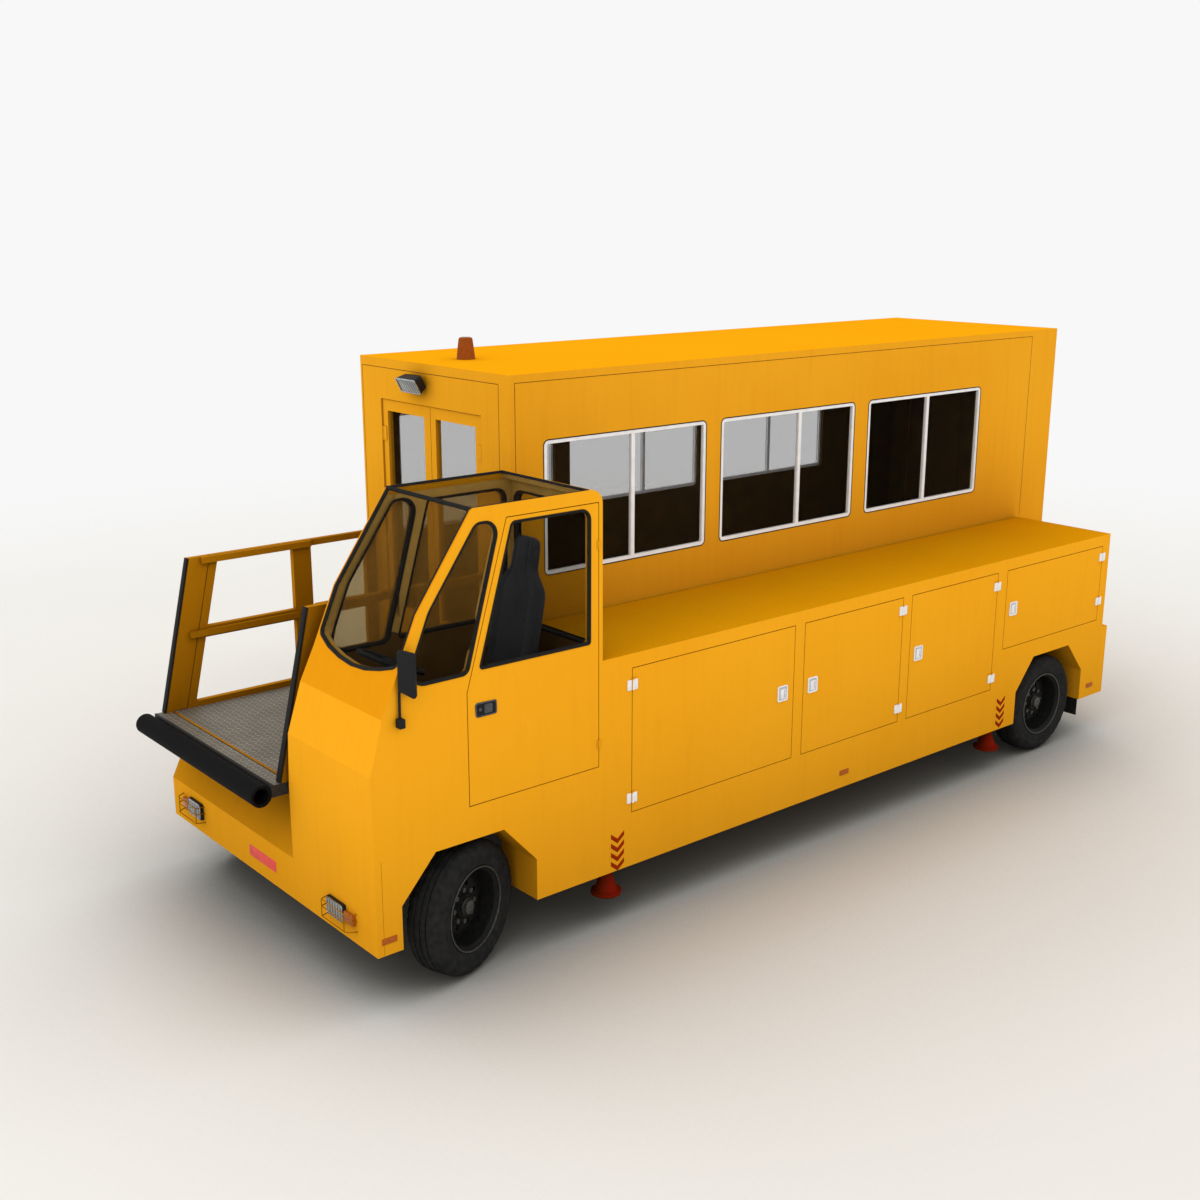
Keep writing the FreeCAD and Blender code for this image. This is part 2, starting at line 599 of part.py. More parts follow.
def mirror():
    """Upright head turned about the top of its stalk, and the foot on the side wall."""
    head = box(-15, 15, 0, 92, 1700, 1960)
    head.rotate(V(0, 0, 0), V(0, 0, 1), MIRROR_TURN)
    head.translate(V(3250, 1223, 0))
    stalk = cyl_z(3247, 1226, 1585, 1710, 7)
    foot = box(3232, 3268, SIDE_Y, 1254, 1553, 1602)
    return fuse([head, stalk, foot])


def mudflaps():
    return [box(-3082, -3070, side * 900, side * 1150, 165, 620) for side in (1, -1)]


def engine_block():
    return box(560, 1460, 480, 1040, 665, 1320)


# ---- scissor lift -------------------------------------------------------------------------
def arm(plane_y, lower, upper):
    """Bar with round ends from the lower to the upper pivot."""
    (x0, z0), (x1, z1) = lower, upper
    length = math.hypot(x1 - x0, z1 - z0)
    bar = Part.makeBox(length, ARM_T, ARM_H, V(0, -ARM_T / 2, -ARM_H / 2))
    ends = [Part.makeCylinder(ARM_H / 2, ARM_T, V(s, -ARM_T / 2, 0), V(0, 1, 0)) for s in (0, length)]
    whole = fuse([bar] + ends)
    whole.rotate(V(0, 0, 0), V(0, 1, 0), -math.degrees(math.atan2(z1 - z0, x1 - x0)))
    whole.translate(V(x0, plane_y, z0))
    return whole


def side_pin(x, z, y, sign, reach, r):
    """Pin or roller spindle that stands out of an arm on one side."""
    y0, y1 = sorted((y, y + sign * reach))
    return cyl_y(x, z, y0, y1, r)


def roller(x, z, y, sign):
    y0, y1 = sorted((y + sign * (ROLLER_OFFSET - 18), y + sign * (ROLLER_OFFSET + 18)))
    return cyl_y(x, z, y0, y1, ROLLER_R)


FAR_X = PIVOT_X + ARM_SPAN
MID_X = PIVOT_X + ARM_SPAN / 2
MID_Z = (LOWER_PIVOT_Z + UPPER_PIVOT_Z) / 2


def inner_arms():
    """Pair pinned to the chassis, tied by cross tubes; rollers run under the cabin."""
    planes = scissor_y(INNER_ARM_Y)
    parts = []
    for y, out in zip(planes, (1, -1)):
        parts.append(arm(y, (PIVOT_X, LOWER_PIVOT_Z), (FAR_X, UPPER_PIVOT_Z)))
        parts.append(side_pin(PIVOT_X, LOWER_PIVOT_Z, y, -out, 64, PIN_R))
        parts.append(side_pin(MID_X, MID_Z, y, out, 118, PIN_R))
        parts.append(side_pin(FAR_X, UPPER_PIVOT_Z, y, -out, ROLLER_OFFSET, PIN_R))
        parts.append(roller(FAR_X, UPPER_PIVOT_Z, y, -out))
    for x in (PIVOT_X + 400, MID_X, FAR_X - 400):
        z = LOWER_PIVOT_Z + (UPPER_PIVOT_Z - LOWER_PIVOT_Z) * (x - PIVOT_X) / ARM_SPAN
        parts.append(cyl_y(x, z, planes[1], planes[0], 40))
    return fuse(parts)


def outer_arms():
    """Pair pinned to the cabin; rollers run on the chassis bars."""
    pair = []
    for y, out in zip(scissor_y(OUTER_ARM_Y), (1, -1)):
        bar = arm(y, (FAR_X, LOWER_PIVOT_Z), (PIVOT_X, UPPER_PIVOT_Z))
        bar = bar.cut(cyl_y(MID_X, MID_Z, y - 40, y + 40, PIN_R + 0.5))
        pair.append(fuse([bar, side_pin(PIVOT_X, UPPER_PIVOT_Z, y, out, 58, PIN_R),
                          side_pin(FAR_X, LOWER_PIVOT_Z, y, out, ROLLER_OFFSET, PIN_R),
                          roller(FAR_X, LOWER_PIVOT_Z, y, out)]))
    return pair


# ---- cabin ---------------------------------------------------------------------------------
def cabin_floor():
    """Floor of the cabin and frame of the platform in one welded piece."""
    parts = [box(REAR_X, CABIN_FRONT_X, CABIN_RIGHT_Y + WALL, CABIN_LEFT_Y - WALL, FLOOR_BOTTOM_Z, FLOOR_Z)]
    # platform: edge channels, deck plate and a rear cross beam, open underneath for the bridge
    dy0, dy1 = DECK_RIGHT_Y, DECK_LEFT_Y
    parts.append(box(CABIN_FRONT_X, DECK_FRONT_X, dy0, dy1, FLOOR_Z - 10, FLOOR_Z))
    for a, b in ((dy0, dy0 + 50), (dy1 - 50, dy1)):
        parts.append(box(CABIN_FRONT_X, DECK_FRONT_X, a, b, DECK_BOTTOM_Z, FLOOR_Z))
    # rails under the floor that the upper rollers run along
    for y, sign in zip(scissor_y(INNER_ARM_Y), (-1, 1)):
        mid = y + sign * ROLLER_OFFSET
        parts.append(box(PIVOT_X + 2800, CABIN_FRONT_X, mid - 22, mid + 22, UPPER_PIVOT_Z + ROLLER_R + GAP,
                         FLOOR_BOTTOM_Z))
    # lugs for the upper pins of the outer arms
    for y, sign in zip(scissor_y(OUTER_ARM_Y), (1, -1)):
        a, b = sorted((y + sign * 35, y + sign * 55))
        lug = box(PIVOT_X - 50, PIVOT_X + 50, a, b, UPPER_PIVOT_Z - 40, FLOOR_BOTTOM_Z)
        parts.append(lug.cut(cyl_y(PIVOT_X, UPPER_PIVOT_Z, a - 1, b + 1, PIN_R + 0.5)))
    return fuse(parts)


def window_hole(x0, x1, y0, y1, grow=0.0):
    z0, z1 = WINDOW_Z
    return rounded_y(x0 - grow, x1 + grow, z0 - grow, z1 + grow, y0, y1, WINDOW_CORNER_R + grow)


def cabin_side_wall(y0, y1):
    """Side wall that also covers the edge of the floor."""
    wall = box(REAR_X, CABIN_FRONT_X, y0, y1, FLOOR_BOTTOM_Z, ROOF_Z - ROOF_T)
    for x0, x1, _ in WINDOWS_X:
        wall = wall.cut(window_hole(x0, x1, y0 - 1, y1 + 1))
    return wall


def cabin_walls():
    """Four walls with window and door openings."""
    y0, y1 = CABIN_RIGHT_Y, CABIN_LEFT_Y
    top = ROOF_Z - ROOF_T
    parts = [cabin_side_wall(y0, y0 + WALL), cabin_side_wall(y1 - WALL, y1)]
    for x0, x1 in ((CABIN_FRONT_X - WALL, CABIN_FRONT_X), (REAR_X, REAR_X + WALL)):
        end = box(x0, x1, y0, y1, FLOOR_Z, top)
        hole = box(x0 - 1, x1 + 1, FRONT_DOOR_Y[0] - GAP, FRONT_DOOR_Y[1] + GAP,
                   FLOOR_Z - 1, FRONT_DOOR_TOP_Z + GAP)
        parts.append(end.cut(hole))
    return fuse(parts)


def cabin_roof():
    return box(REAR_X, CABIN_FRONT_X, CABIN_RIGHT_Y, CABIN_LEFT_Y, ROOF_Z - ROOF_T, ROOF_Z)


FRAME_W = 22.0
FRAME_T = 24.0            # depth of a window frame in the wall
BAR_HALF = 14.0
PANE_DEPTH = 10.0         # middle of a pane behind the wall's outer face


def window_frames():
    """White frames with an upright bar, flush with the wall's outer face."""
    frames = []
    z0, z1 = WINDOW_Z
    for ya, yb in ((CABIN_LEFT_Y - FRAME_T, CABIN_LEFT_Y), (CABIN_RIGHT_Y, CABIN_RIGHT_Y + FRAME_T)):
        for x0, x1, mid in WINDOWS_X:
            ring = window_hole(x0, x1, ya, yb).cut(window_hole(x0, x1, ya - 1, yb + 1, -FRAME_W))
            bar = box(mid - BAR_HALF, mid + BAR_HALF, ya, yb, z0 + FRAME_W / 2, z1 - FRAME_W / 2)
            frames.append(ring.fuse(bar))
    return frames


def cabin_glass():
    panes = []
    for y in (CABIN_LEFT_Y - PANE_DEPTH, CABIN_RIGHT_Y + PANE_DEPTH):
        for x0, x1, mid in WINDOWS_X:
            pane = window_hole(x0, x1, y - 3, y + 3, -FRAME_W)
            panes.append(pane.cut(box(mid - BAR_HALF, mid + BAR_HALF, y - 9, y + 9, *WINDOW_Z)))
    return panes


LEAF_MID_Y = sum(FRONT_DOOR_Y) / 2
LEAF_WINDOW_Z = (1500.0, 2800.0)
LEAF_INSET = 11.0         # leaf face behind the wall face


def leaf_span(side):
    """Edges of one leaf across the doorway, lower y first; side is +1 for the left leaf."""
    edge = FRONT_DOOR_Y[1] if side > 0 else FRONT_DOOR_Y[0]
    return sorted((edge, LEAF_MID_Y + side * GAP / 2))


def leaf(face, out, side, glazed):
    """One leaf of a double door in the wall at face; out is the way that wall looks."""
    y0, y1 = leaf_span(side)
    panel = box(face - out * WALL, face - out * LEAF_INSET, y0, y1, FLOOR_Z + GAP, FRONT_DOOR_TOP_Z)
    if glazed:
        panel = panel.cut(box(face - WALL - 1, face + 1, y0 + 55, y1 - 70, *LEAF_WINDOW_Z))
    edge = y1 if side > 0 else y0
    parts = [panel]
    for z in (1250, 1950, 2650):
        parts.append(cyl_z(face - out * HINGE_R, edge - side * 2, z - 45, z + 45, HINGE_R))
        parts.append(box(face - out * HINGE_R, face - out * LEAF_INSET, edge - side * 2, edge - side * 40,
                         z - 45, z + 45))
    return fuse(parts)


def leaf_glass(side):
    y0, y1 = leaf_span(side)
    mid = CABIN_FRONT_X - (WALL + LEAF_INSET) / 2
    return box(mid - 3, mid + 3, y0 + 55, y1 - 70, *LEAF_WINDOW_Z)


# ---- platform rails and bridge -------------------------------------------------------------
def slope_x(z, base):
    """Leading edges of the rails lean back by 223 in 960."""
    return base - (z - FLOOR_Z) * 223.0 / 960.0


SEAM_BASE_X = 3310.0
EDGE_BASE_X = 3454.0


def fixed_rail(y0, y1):
    """Fixed side guard from the cabin to the seam of the bridge."""
    top, low = RAIL_TOP_Z, FLOOR_Z
    outline = [(CABIN_FRONT_X + 4, low), (slope_x(low, SEAM_BASE_X), low), (slope_x(top, SEAM_BASE_X), top),
               (CABIN_FRONT_X + 4, top)]
    plate = prism_y(outline, y0, y1)
    post0, post1 = 2385.0, 2515.0
    for z0, z1 in ((1055, 1460), (1530, 1938)):
        front = [(post1, z0), (slope_x(z0, SEAM_BASE_X) - 55, z0),
                 (slope_x(z1, SEAM_BASE_X) - 55, z1), (post1, z1)]
        plate = plate.cut(prism_y(front, y0 - 1, y1 + 1))
        plate = plate.cut(box(CABIN_FRONT_X + 80, post0, y0 - 1, y1 + 1, z0, z1))
    return plate


def platform_rails():
    return [fixed_rail(DECK_LEFT_Y - RAIL_T, DECK_LEFT_Y), fixed_rail(DECK_RIGHT_Y, DECK_RIGHT_Y + RAIL_T)]


def bridge_deck():
    """Front strip with its tread, and the plate that slides under the fixed deck."""
    y0, y1 = DECK_RIGHT_Y, DECK_LEFT_Y
    strip = box(DECK_FRONT_X + GAP, BRIDGE_FRONT_X, y0, y1, DECK_BOTTOM_Z, FLOOR_Z)
    plate = box(DECK_FRONT_X - 900, DECK_FRONT_X + GAP, y0 + 60, y1 - 60, 970, 1000)
    return fuse([strip, plate])


def bridge_rails():
    """Slim front guards that move with the bridge, each on two sliding bars."""
    guards = []
    for y0, y1, inward in ((DECK_LEFT_Y - RAIL_T, DECK_LEFT_Y, -1), (DECK_RIGHT_Y, DECK_RIGHT_Y + RAIL_T, 1)):
        low, top = FLOOR_Z, RAIL_TOP_Z
        outline = [(slope_x(low, SEAM_BASE_X) + GAP, low), (slope_x(low, EDGE_BASE_X), low),
                   (slope_x(top, EDGE_BASE_X), top), (slope_x(top, SEAM_BASE_X) + GAP, top)]
        panel = prism_y(outline, y0, y1)
        panel = panel.cut(box(3200, DECK_FRONT_X + GAP, y0 - 1, y1 + 1, low - 1, low + GAP))
        inner = y0 if inward < 0 else y1
        a, b = sorted((inner, inner + inward * 5))
        c, d = sorted((inner + inward * 5, inner + inward * 25))
        bars = [box(slope_x(z, SEAM_BASE_X) - 700, slope_x(z, SEAM_BASE_X) + 60, c, d, z - 20, z + 20)
                for z in (1495, 1958)]
        ties = [box(slope_x(z, SEAM_BASE_X) + 12, slope_x(z, SEAM_BASE_X) + 60, a, b, z - 20, z + 20)
                for z in (1495, 1958)]
        guards.append(fuse([panel] + bars + ties))
    return guards


def bumper_roll():
    y0, y1 = DECK_RIGHT_Y, DECK_LEFT_Y
    tube = cyl_y(ROLL_X, ROLL_Z, y0, y1, ROLL_R)
    return tube.cut(cyl_y(ROLL_X, ROLL_Z, y0 - 1, y1 + 1, ROLL_R - 17))


def work_lamp():
    """Lamp under the roof edge, tipped down towards the platform."""
    case = Part.makeBox(60, 224, 84, V(-30, -112, -42))
    case.rotate(V(0, 0, 0), V(0, 1, 0), 28)
    case.translate(V(CABIN_FRONT_X + 50, -595, 3018))
    bracket = box(CABIN_FRONT_X, CABIN_FRONT_X + 40, -612, -578, 2998, 3038)
    return case.fuse(bracket)


BEACON_XY = (1520.0, -620.0)
BEACON_H = 140.0


def beacon():
    x, y = BEACON_XY
    top = ROOF_Z + BEACON_H
    return revolve_z([(0, ROOF_Z), (60, ROOF_Z), (49, top - 8), (42, top), (0, top)], x, y)


LAMPS = ((868.0, 412.0), (-940.0, 424.0))    # middle y, bottom z


def head_lamps():
    return [box(FRONT_X, FRONT_X + 25, y - 133, y + 133, z, z + 103) for y, z in LAMPS]


# ---- write every piece ------------------------------------------------------------------------
save("chassis_frame", chassis_frame())
save("lift_foot", lift_foot())
save("jack_tubes", *jack_tubes())
save("axles", *axles())
save("engine_block", engine_block())
save("front_cowl", front_cowl())
save("right_skirt", right_skirt())
save("rear_bumper", rear_bumper())
save("locker_skin", locker_skin())
save("locker_frame", locker_frame())
save("arch_liners", *arch_liners())
save("skirt_hangers", *skirt_hangers())
for number, door in enumerate(LOCKER_DOORS, start=1):
    save("locker_door_%d" % number, locker_door(*door))
save("cab_shell", cab_shell())
save("cab_glass", *cab_glass())
save("cab_door", cab_door())
save("cab_door_glass", cab_door_glass())
save("dashboard", dashboard())
save("steering_wheel", steering_wheel())
save("seat_base", seat_base())
save("seat_cushions", *seat_cushions())
save("mirror", mirror())
save("mudflaps", *mudflaps())
save("head_lamps", *head_lamps())
for jack_name, jack_x, jack_side in (("front_left", JACK_X[0], 1), ("front_right", JACK_X[0], -1),
                                     ("rear_left", JACK_X[1], 1), ("rear_right", JACK_X[1], -1)):
    save("jack_" + jack_name, jack_leg(jack_x, jack_side * JACK_Y))
for side_name, side_sign in (("left", 1), ("right", -1)):
    pivot_y = side_sign * KINGPIN_Y
    save("knuckle_" + side_name, turned(knuckle(side_sign), STEER_REST, FRONT_AXLE_X, pivot_y))
    save("front_tyre_" + side_name,
         turned(tyre(FRONT_AXLE_X, side_sign, FRONT_FACE_Y), STEER_REST, FRONT_AXLE_X, pivot_y))
    save("front_rim_" + side_name,
         turned(rim(FRONT_AXLE_X, side_sign, FRONT_FACE_Y), STEER_REST, FRONT_AXLE_X, pivot_y))
    save("rear_tyre_" + side_name, tyre(REAR_AXLE_X, side_sign, REAR_FACE_Y))
    save("rear_rim_" + side_name, rim(REAR_AXLE_X, side_sign, REAR_FACE_Y))
save("scissor_inner_arms", inner_arms())
save("scissor_outer_arms", *outer_arms())
save("cabin_floor", cabin_floor())
save("cabin_walls", cabin_walls())
save("cabin_roof", cabin_roof())
save("window_frames", *window_frames())
save("cabin_glass", *cabin_glass())
for end_name, face_x, out_sign in (("front", CABIN_FRONT_X, 1), ("rear", REAR_X, -1)):
    for side_name, side_sign in (("left", 1), ("right", -1)):
        save("%s_leaf_%s" % (end_name, side_name), leaf(face_x, out_sign, side_sign, out_sign > 0))
save("leaf_glass_left", leaf_glass(1))
save("leaf_glass_right", leaf_glass(-1))
save("platform_rails", *platform_rails())
save("bridge_deck", bridge_deck())
save("bridge_rails", *bridge_rails())
save("bumper_roll", bumper_roll())
save("work_lamp", work_lamp())
save("beacon", beacon())
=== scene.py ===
# %% [markdown]
# # Dressing a passenger lift truck
# A half-cab airport truck carries a long cabin on a scissor lift, with a railed platform
# and a sliding bridge in front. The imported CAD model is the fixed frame: every piece
# below is placed by its sizes and rides on one of its bodies.

# %% Load the fixed frame
import math

import bmesh
import bpy
from mathutils import Matrix, Vector


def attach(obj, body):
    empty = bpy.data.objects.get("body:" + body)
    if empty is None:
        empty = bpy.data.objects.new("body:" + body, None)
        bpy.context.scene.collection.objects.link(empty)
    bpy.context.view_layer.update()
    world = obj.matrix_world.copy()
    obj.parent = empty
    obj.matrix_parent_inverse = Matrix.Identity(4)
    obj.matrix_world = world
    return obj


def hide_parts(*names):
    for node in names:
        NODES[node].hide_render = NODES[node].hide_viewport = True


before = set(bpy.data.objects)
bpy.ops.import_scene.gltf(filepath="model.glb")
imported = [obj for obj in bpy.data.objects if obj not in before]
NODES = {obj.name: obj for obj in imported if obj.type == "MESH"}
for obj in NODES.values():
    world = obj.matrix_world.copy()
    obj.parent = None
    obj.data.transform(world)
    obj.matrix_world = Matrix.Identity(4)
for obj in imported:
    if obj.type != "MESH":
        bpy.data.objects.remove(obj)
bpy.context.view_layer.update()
SCENE = bpy.context.scene

# %% [markdown]
# ## Camera, floor and light
# The machine stands on a plain pale floor under an even white sky, with one large soft
# panel ahead of the driver's side. An even sky keeps colours as they are written, and the
# floor fades into the background, so that no horizon shows.

# %% Colour and node helpers
def linear(code):
    """sRGB hex to the linear numbers that shader sockets take."""
    parts = [int(code[i:i + 2], 16) / 255 for i in (1, 3, 5)]
    return [p / 12.92 if p <= 0.04045 else ((p + 0.055) / 1.055) ** 2.4 for p in parts] + [1.0]


def add(tree, kind, inputs=None, **settings):
    """Add one node; inputs holds plain values or the sockets that feed it."""
    made = tree.nodes.new(kind)
    for key, value in settings.items():
        setattr(made, key, value)
    for key, value in (inputs or {}).items():
        socket = made.inputs[key]
        if isinstance(value, bpy.types.NodeSocket):
            tree.links.new(value, socket)
        else:
            socket.default_value = value
    return made


def maths(tree, operation, *values):
    """Result of a Math node on plain values or sockets."""
    return add(tree, "ShaderNodeMath", dict(enumerate(values)), operation=operation).outputs[0]


def mixed(tree, share, one, two):
    """Mix of two shaders; share is how much is the second."""
    return add(tree, "ShaderNodeMixShader", {0: share, 1: one, 2: two}).outputs[0]


# %% Surface helpers
def new_surface(name, fixed):
    """Material, its tree, Object coordinates and a Principled shader with fixed inputs."""
    material = bpy.data.materials.new(name)
    material.use_nodes = True
    tree = material.node_tree
    tree.nodes.clear()
    where = add(tree, "ShaderNodeTexCoord").outputs["Object"]
    shader = add(tree, "ShaderNodeBsdfPrincipled", fixed)
    add(tree, "ShaderNodeOutputMaterial", {"Surface": shader.outputs[0]})
    return material, tree, where, shader


def reroute(tree, surface):
    """Lead another shader to the material's output."""
    tree.links.new(surface, tree.nodes["Material Output"].inputs["Surface"])


def noise(tree, where, size_mm, detail=2.0, stretch=(1, 1, 1)):
    """Noise whose blotches are about size_mm wide, or longer along an axis by stretch."""
    scaled = add(tree, "ShaderNodeMapping", {"Vector": where, "Scale": [1 / s for s in stretch]}).outputs[0]
    grain = {"Vector": scaled, "Scale": 1000.0 / size_mm, "Detail": detail}
    return add(tree, "ShaderNodeTexNoise", grain).outputs[0]


def blend(tree, factor, low, high):
    """Mix of two colours, each a hex code or a socket."""
    ends = {key: linear(v) if isinstance(v, str) else v for key, v in ((6, low), (7, high))}
    return add(tree, "ShaderNodeMix", {0: factor, **ends}, data_type="RGBA").outputs[2]


def ramp(tree, value, low, high, out_low=0.0, out_high=1.0, **settings):
    """Map value from low..high to out_low..out_high, held at the ends."""
    ends = {"From Min": low, "From Max": high, "To Min": out_low, "To Max": out_high}
    return add(tree, "ShaderNodeMapRange", {"Value": value, **ends}, **settings).outputs[0]


def bump(tree, shader, height, depth_mm, strength):
    """Relief of depth_mm from a height socket."""
    made = add(tree, "ShaderNodeBump", {"Height": height, "Distance": depth_mm / 1000, "Strength": strength})
    tree.links.new(made.outputs[0], shader.inputs["Normal"])


def feed(tree, shader, colour, rough=None):
    """Colour and, where it varies, roughness to the shader."""
    tree.links.new(colour, shader.inputs["Base Color"])
    if rough is not None:
        tree.links.new(rough, shader.inputs["Roughness"])


# %% Camera, sky and soft panel
camera_data = bpy.data.cameras.new("view")
camera_data.lens = 43.41
camera_data.clip_end = 200
camera = bpy.data.objects.new("view", camera_data)
camera.location = (6.865, 7.099, 4.037)
camera.rotation_euler = (1.3098, 0.0, 2.4444)
SCENE.collection.objects.link(camera)
bpy.context.scene.camera = camera
SCENE.view_settings.view_transform = "Standard"

world = bpy.data.worlds.new("pale_sky")
SCENE.world = world
world.use_nodes = True
sky = world.node_tree
sky.nodes.clear()
# seen directly, in a gloss or through a pane the sky is one flat tone; as light it is a touch warmer
ray = add(sky, "ShaderNodeLightPath")
seen = ray.outputs["Is Camera Ray"]
for kind in ("Is Glossy Ray", "Is Transmission Ray"):
    seen = maths(sky, "MAXIMUM", seen, ray.outputs[kind])
lit, shown = [add(sky, "ShaderNodeBackground", {"Color": linear(code), "Strength": 1.0}).outputs[0]
              for code in ("#FDFBF8", "#F8F8F8")]
add(sky, "ShaderNodeOutputWorld", {"Surface": mixed(sky, seen, lit, shown)})

panel = bpy.data.lights.new("soft_panel", "AREA")
panel.shape = "DISK"
panel.size = 7.0
panel.energy = 150.0
panel_object = bpy.data.objects.new("soft_panel", panel)
panel_object.location = (11.0, 5.5, 8.0)
aim = Vector((0.5, 0.2, 1.2)) - panel_object.location
panel_object.rotation_euler = aim.to_track_quat("-Z", "Y").to_euler()
SCENE.collection.objects.link(panel_object)
print("camera at", [round(v, 2) for v in camera.location])

# %% Pale floor
FLOOR_REACH = 40.0
FADE_FROM, FADE_TO = 6.5, 15.0
floor_mesh = bpy.data.meshes.new("floor")
corners = [(FLOOR_REACH * x, FLOOR_REACH * y, 0) for x, y in ((-1, -1), (1, -1), (1, 1), (-1, 1))]
floor_mesh.from_pydata(corners, [], [(0, 1, 2, 3)])
floor = bpy.data.objects.new("floor", floor_mesh)
SCENE.collection.objects.link(floor)
paper, tree, where, card = new_surface("pale_floor_paper", {"Roughness": 0.9, "Specular IOR Level": 0.1})
reach = add(tree, "ShaderNodeVectorMath", {0: where}, operation="LENGTH").outputs["Value"]
fade = ramp(tree, reach, FADE_FROM, FADE_TO, interpolation_type="SMOOTHSTEP")
tone = blend(tree, noise(tree, where, 1000 / 0.35, 3.0), "#F0F0ED", "#F5F5F3")
# the share of sky seen within 4.5 m deepens the soft shadow under the machine
open_sky = add(tree, "ShaderNodeAmbientOcclusion", {"Distance": 4.5}, samples=12).outputs["AO"]
feed(tree, card, blend(tree, ramp(tree, open_sky, 0.27, 0.97), "#75746F", tone))
clear = add(tree, "ShaderNodeBsdfTransparent").outputs[0]
reroute(tree, mixed(tree, fade, card.outputs[0], clear))
floor_mesh.materials.append(paper)
print("floor", 2 * FLOOR_REACH, "m wide")

# %% [markdown]
# ## Paints
# The body is steel sheet in a gloss orange-yellow machinery enamel. Sprayed enamel has a
# faint orange peel, and a machine kept outdoors carries a thin film of dust that runs down
# it. That is noise on Object coordinates: a metre-wide tone, thin upright streaks, and a
# bump for the peel.
# Where little sky is seen, as in corners, the colour is darkened: painted shade.


# %% Enamel, satin and powder paints
def enamel(name, low, high, dirt, rough=0.42, coat=0.04, peel_mm=9.0, streaks=0.16, corner=0.5):
    """Sprayed enamel: tone drifts over a metre, dust runs down, painted shade darkens corners, peel on top.
    """
    gloss = {"Specular IOR Level": 0.0, "Coat Weight": coat, "Coat IOR": 1.2, "Coat Roughness": 0.2}
    material, tree, where, shader = new_surface(name, gloss)
    drift = noise(tree, where, 900.0, 3.0)
    run = noise(tree, where, 55.0, 4.0, (1, 1, 14))
    streak = ramp(tree, run, 0.5, 0.82, 0.0, streaks)
    colour = blend(tree, streak, blend(tree, ramp(tree, drift, 0.3, 0.7), low, high), dirt)
    # painted shade: the colour darkens towards deep brown where little sky is seen within 1.6 m
    sky_seen = add(tree, "ShaderNodeAmbientOcclusion", {"Distance": 1.6}, samples=8).outputs["AO"]
    colour = blend(tree, ramp(tree, sky_seen, 0.25, 0.95, corner, 0.0), colour, "#3A2200")
    feed(tree, shader, colour, ramp(tree, run, 0.2, 0.8, rough - 0.05, rough + 0.1))
    # real peel is about 2 mm wide: drawn four times as wide so that it shows
    bump(tree, shader, noise(tree, where, peel_mm), 0.25, 0.35)
    return material


def satin(name, low, high, rough, grain_mm=30.0, depth_mm=0.4, metallic=0.0):
    """Satin paint, moulding or cast surface, its tone and roughness in blotches over a fine relief."""
    material, tree, where, shader = new_surface(name, {"Metallic": metallic, "Specular IOR Level": 0.08})
    spots = noise(tree, where, grain_mm, 5.0)
    feed(tree, shader, blend(tree, ramp(tree, spots, 0.35, 0.75), low, high),
         ramp(tree, spots, 0.3, 0.8, rough - 0.07, rough + 0.08))
    bump(tree, shader, noise(tree, where, grain_mm / 6, 3.0), depth_mm, 0.4)
    return material


# one spray in several tones: painted shade on rails, ledges, apron and screen surround, painted light on the
# roof
ORANGE_ENAMEL = enamel("orange_yellow_enamel", "#F8AA1D", "#FBAF21", "#DF951E")
CABIN_ENAMEL = enamel("orange_yellow_cabin_enamel", "#F0A51F", "#F4AB24", "#D58E1C",
                      rough=0.45, streaks=0.2)
LIT_ROOF_ENAMEL = enamel("orange_yellow_enamel_painted_roof_light", "#FFAC0E", "#FFB011", "#F4A10E", rough=0.5, coat=0.0)
SHADED_LEDGE_ENAMEL = enamel("orange_yellow_enamel_painted_ledge_shade", "#E79E08", "#EBA30B", "#CE8B08", rough=0.5, coat=0.0)
SHADED_RAIL_ENAMEL = enamel("orange_yellow_enamel_painted_rail_shade", "#BF7E0E", "#C6840F", "#915D0E", rough=0.46, corner=0.75)
SHADED_SURROUND_ENAMEL = enamel("orange_yellow_enamel_painted_surround_shade", "#EA9810", "#ED9D13", "#D08A14")
SHADED_APRON_ENAMEL = enamel("orange_yellow_enamel_painted_apron_shade", "#D58E10", "#DB9513", "#B0720F", corner=0.6)
JACK_ENAMEL = enamel("shaded_red_jack_enamel", "#820F0C", "#92130F", "#4C110E",
                     rough=0.4, peel_mm=6.0, corner=0.7)
RED_ENAMEL = enamel("dark_red_enamel", "#A32A0A", "#B0300D", "#6A2410", rough=0.35, peel_mm=6.0, corner=0.7)
WHITE_POWDER = satin("white_powder_coat", "#F4F4F5", "#E7E8EA", 0.5, 60.0, 0.1)
CHASSIS_BLACK = satin("black_chassis_paint", "#151515", "#2B2823", 0.6, 45.0, 0.5)
WHEEL_GREY = satin("charcoal_wheel_paint", "#151515", "#222120", 0.5, 25.0, 0.3)
HUB_STEEL = satin("dull_hub_steel", "#5B5C58", "#3B3A36", 0.45, 12.0, 0.2, metallic=0.6)
# the dark lining is also painted shade: in the cab it stays on the inner faces below the belt
LINING_AND_SHADE = satin("dark_brown_lining_and_painted_shade", "#513A1B", "#60451E", 0.7, 120.0, 0.15)
CAB_TRIM = satin("ochre_brown_cab_trim", "#A07C3C", "#AD8742", 0.7, 120.0, 0.15)
print("paints:", len(bpy.data.materials))

# %% [markdown]
# ## Rubber, plastic, fabric and glass
# Tyre rubber is carbon black, matt, greyed by road dust. Seals and the soft roll are the
# same family, cleaner and smoother. The seat is a woven polyester, with a fine weave and a
# soft sheen. The cab glass is tinted brown, the cabin glass a light grey. A pane is nearly
# all clear surface, which colours the view behind it without grain, and only a small share
# is its own tint and gloss.

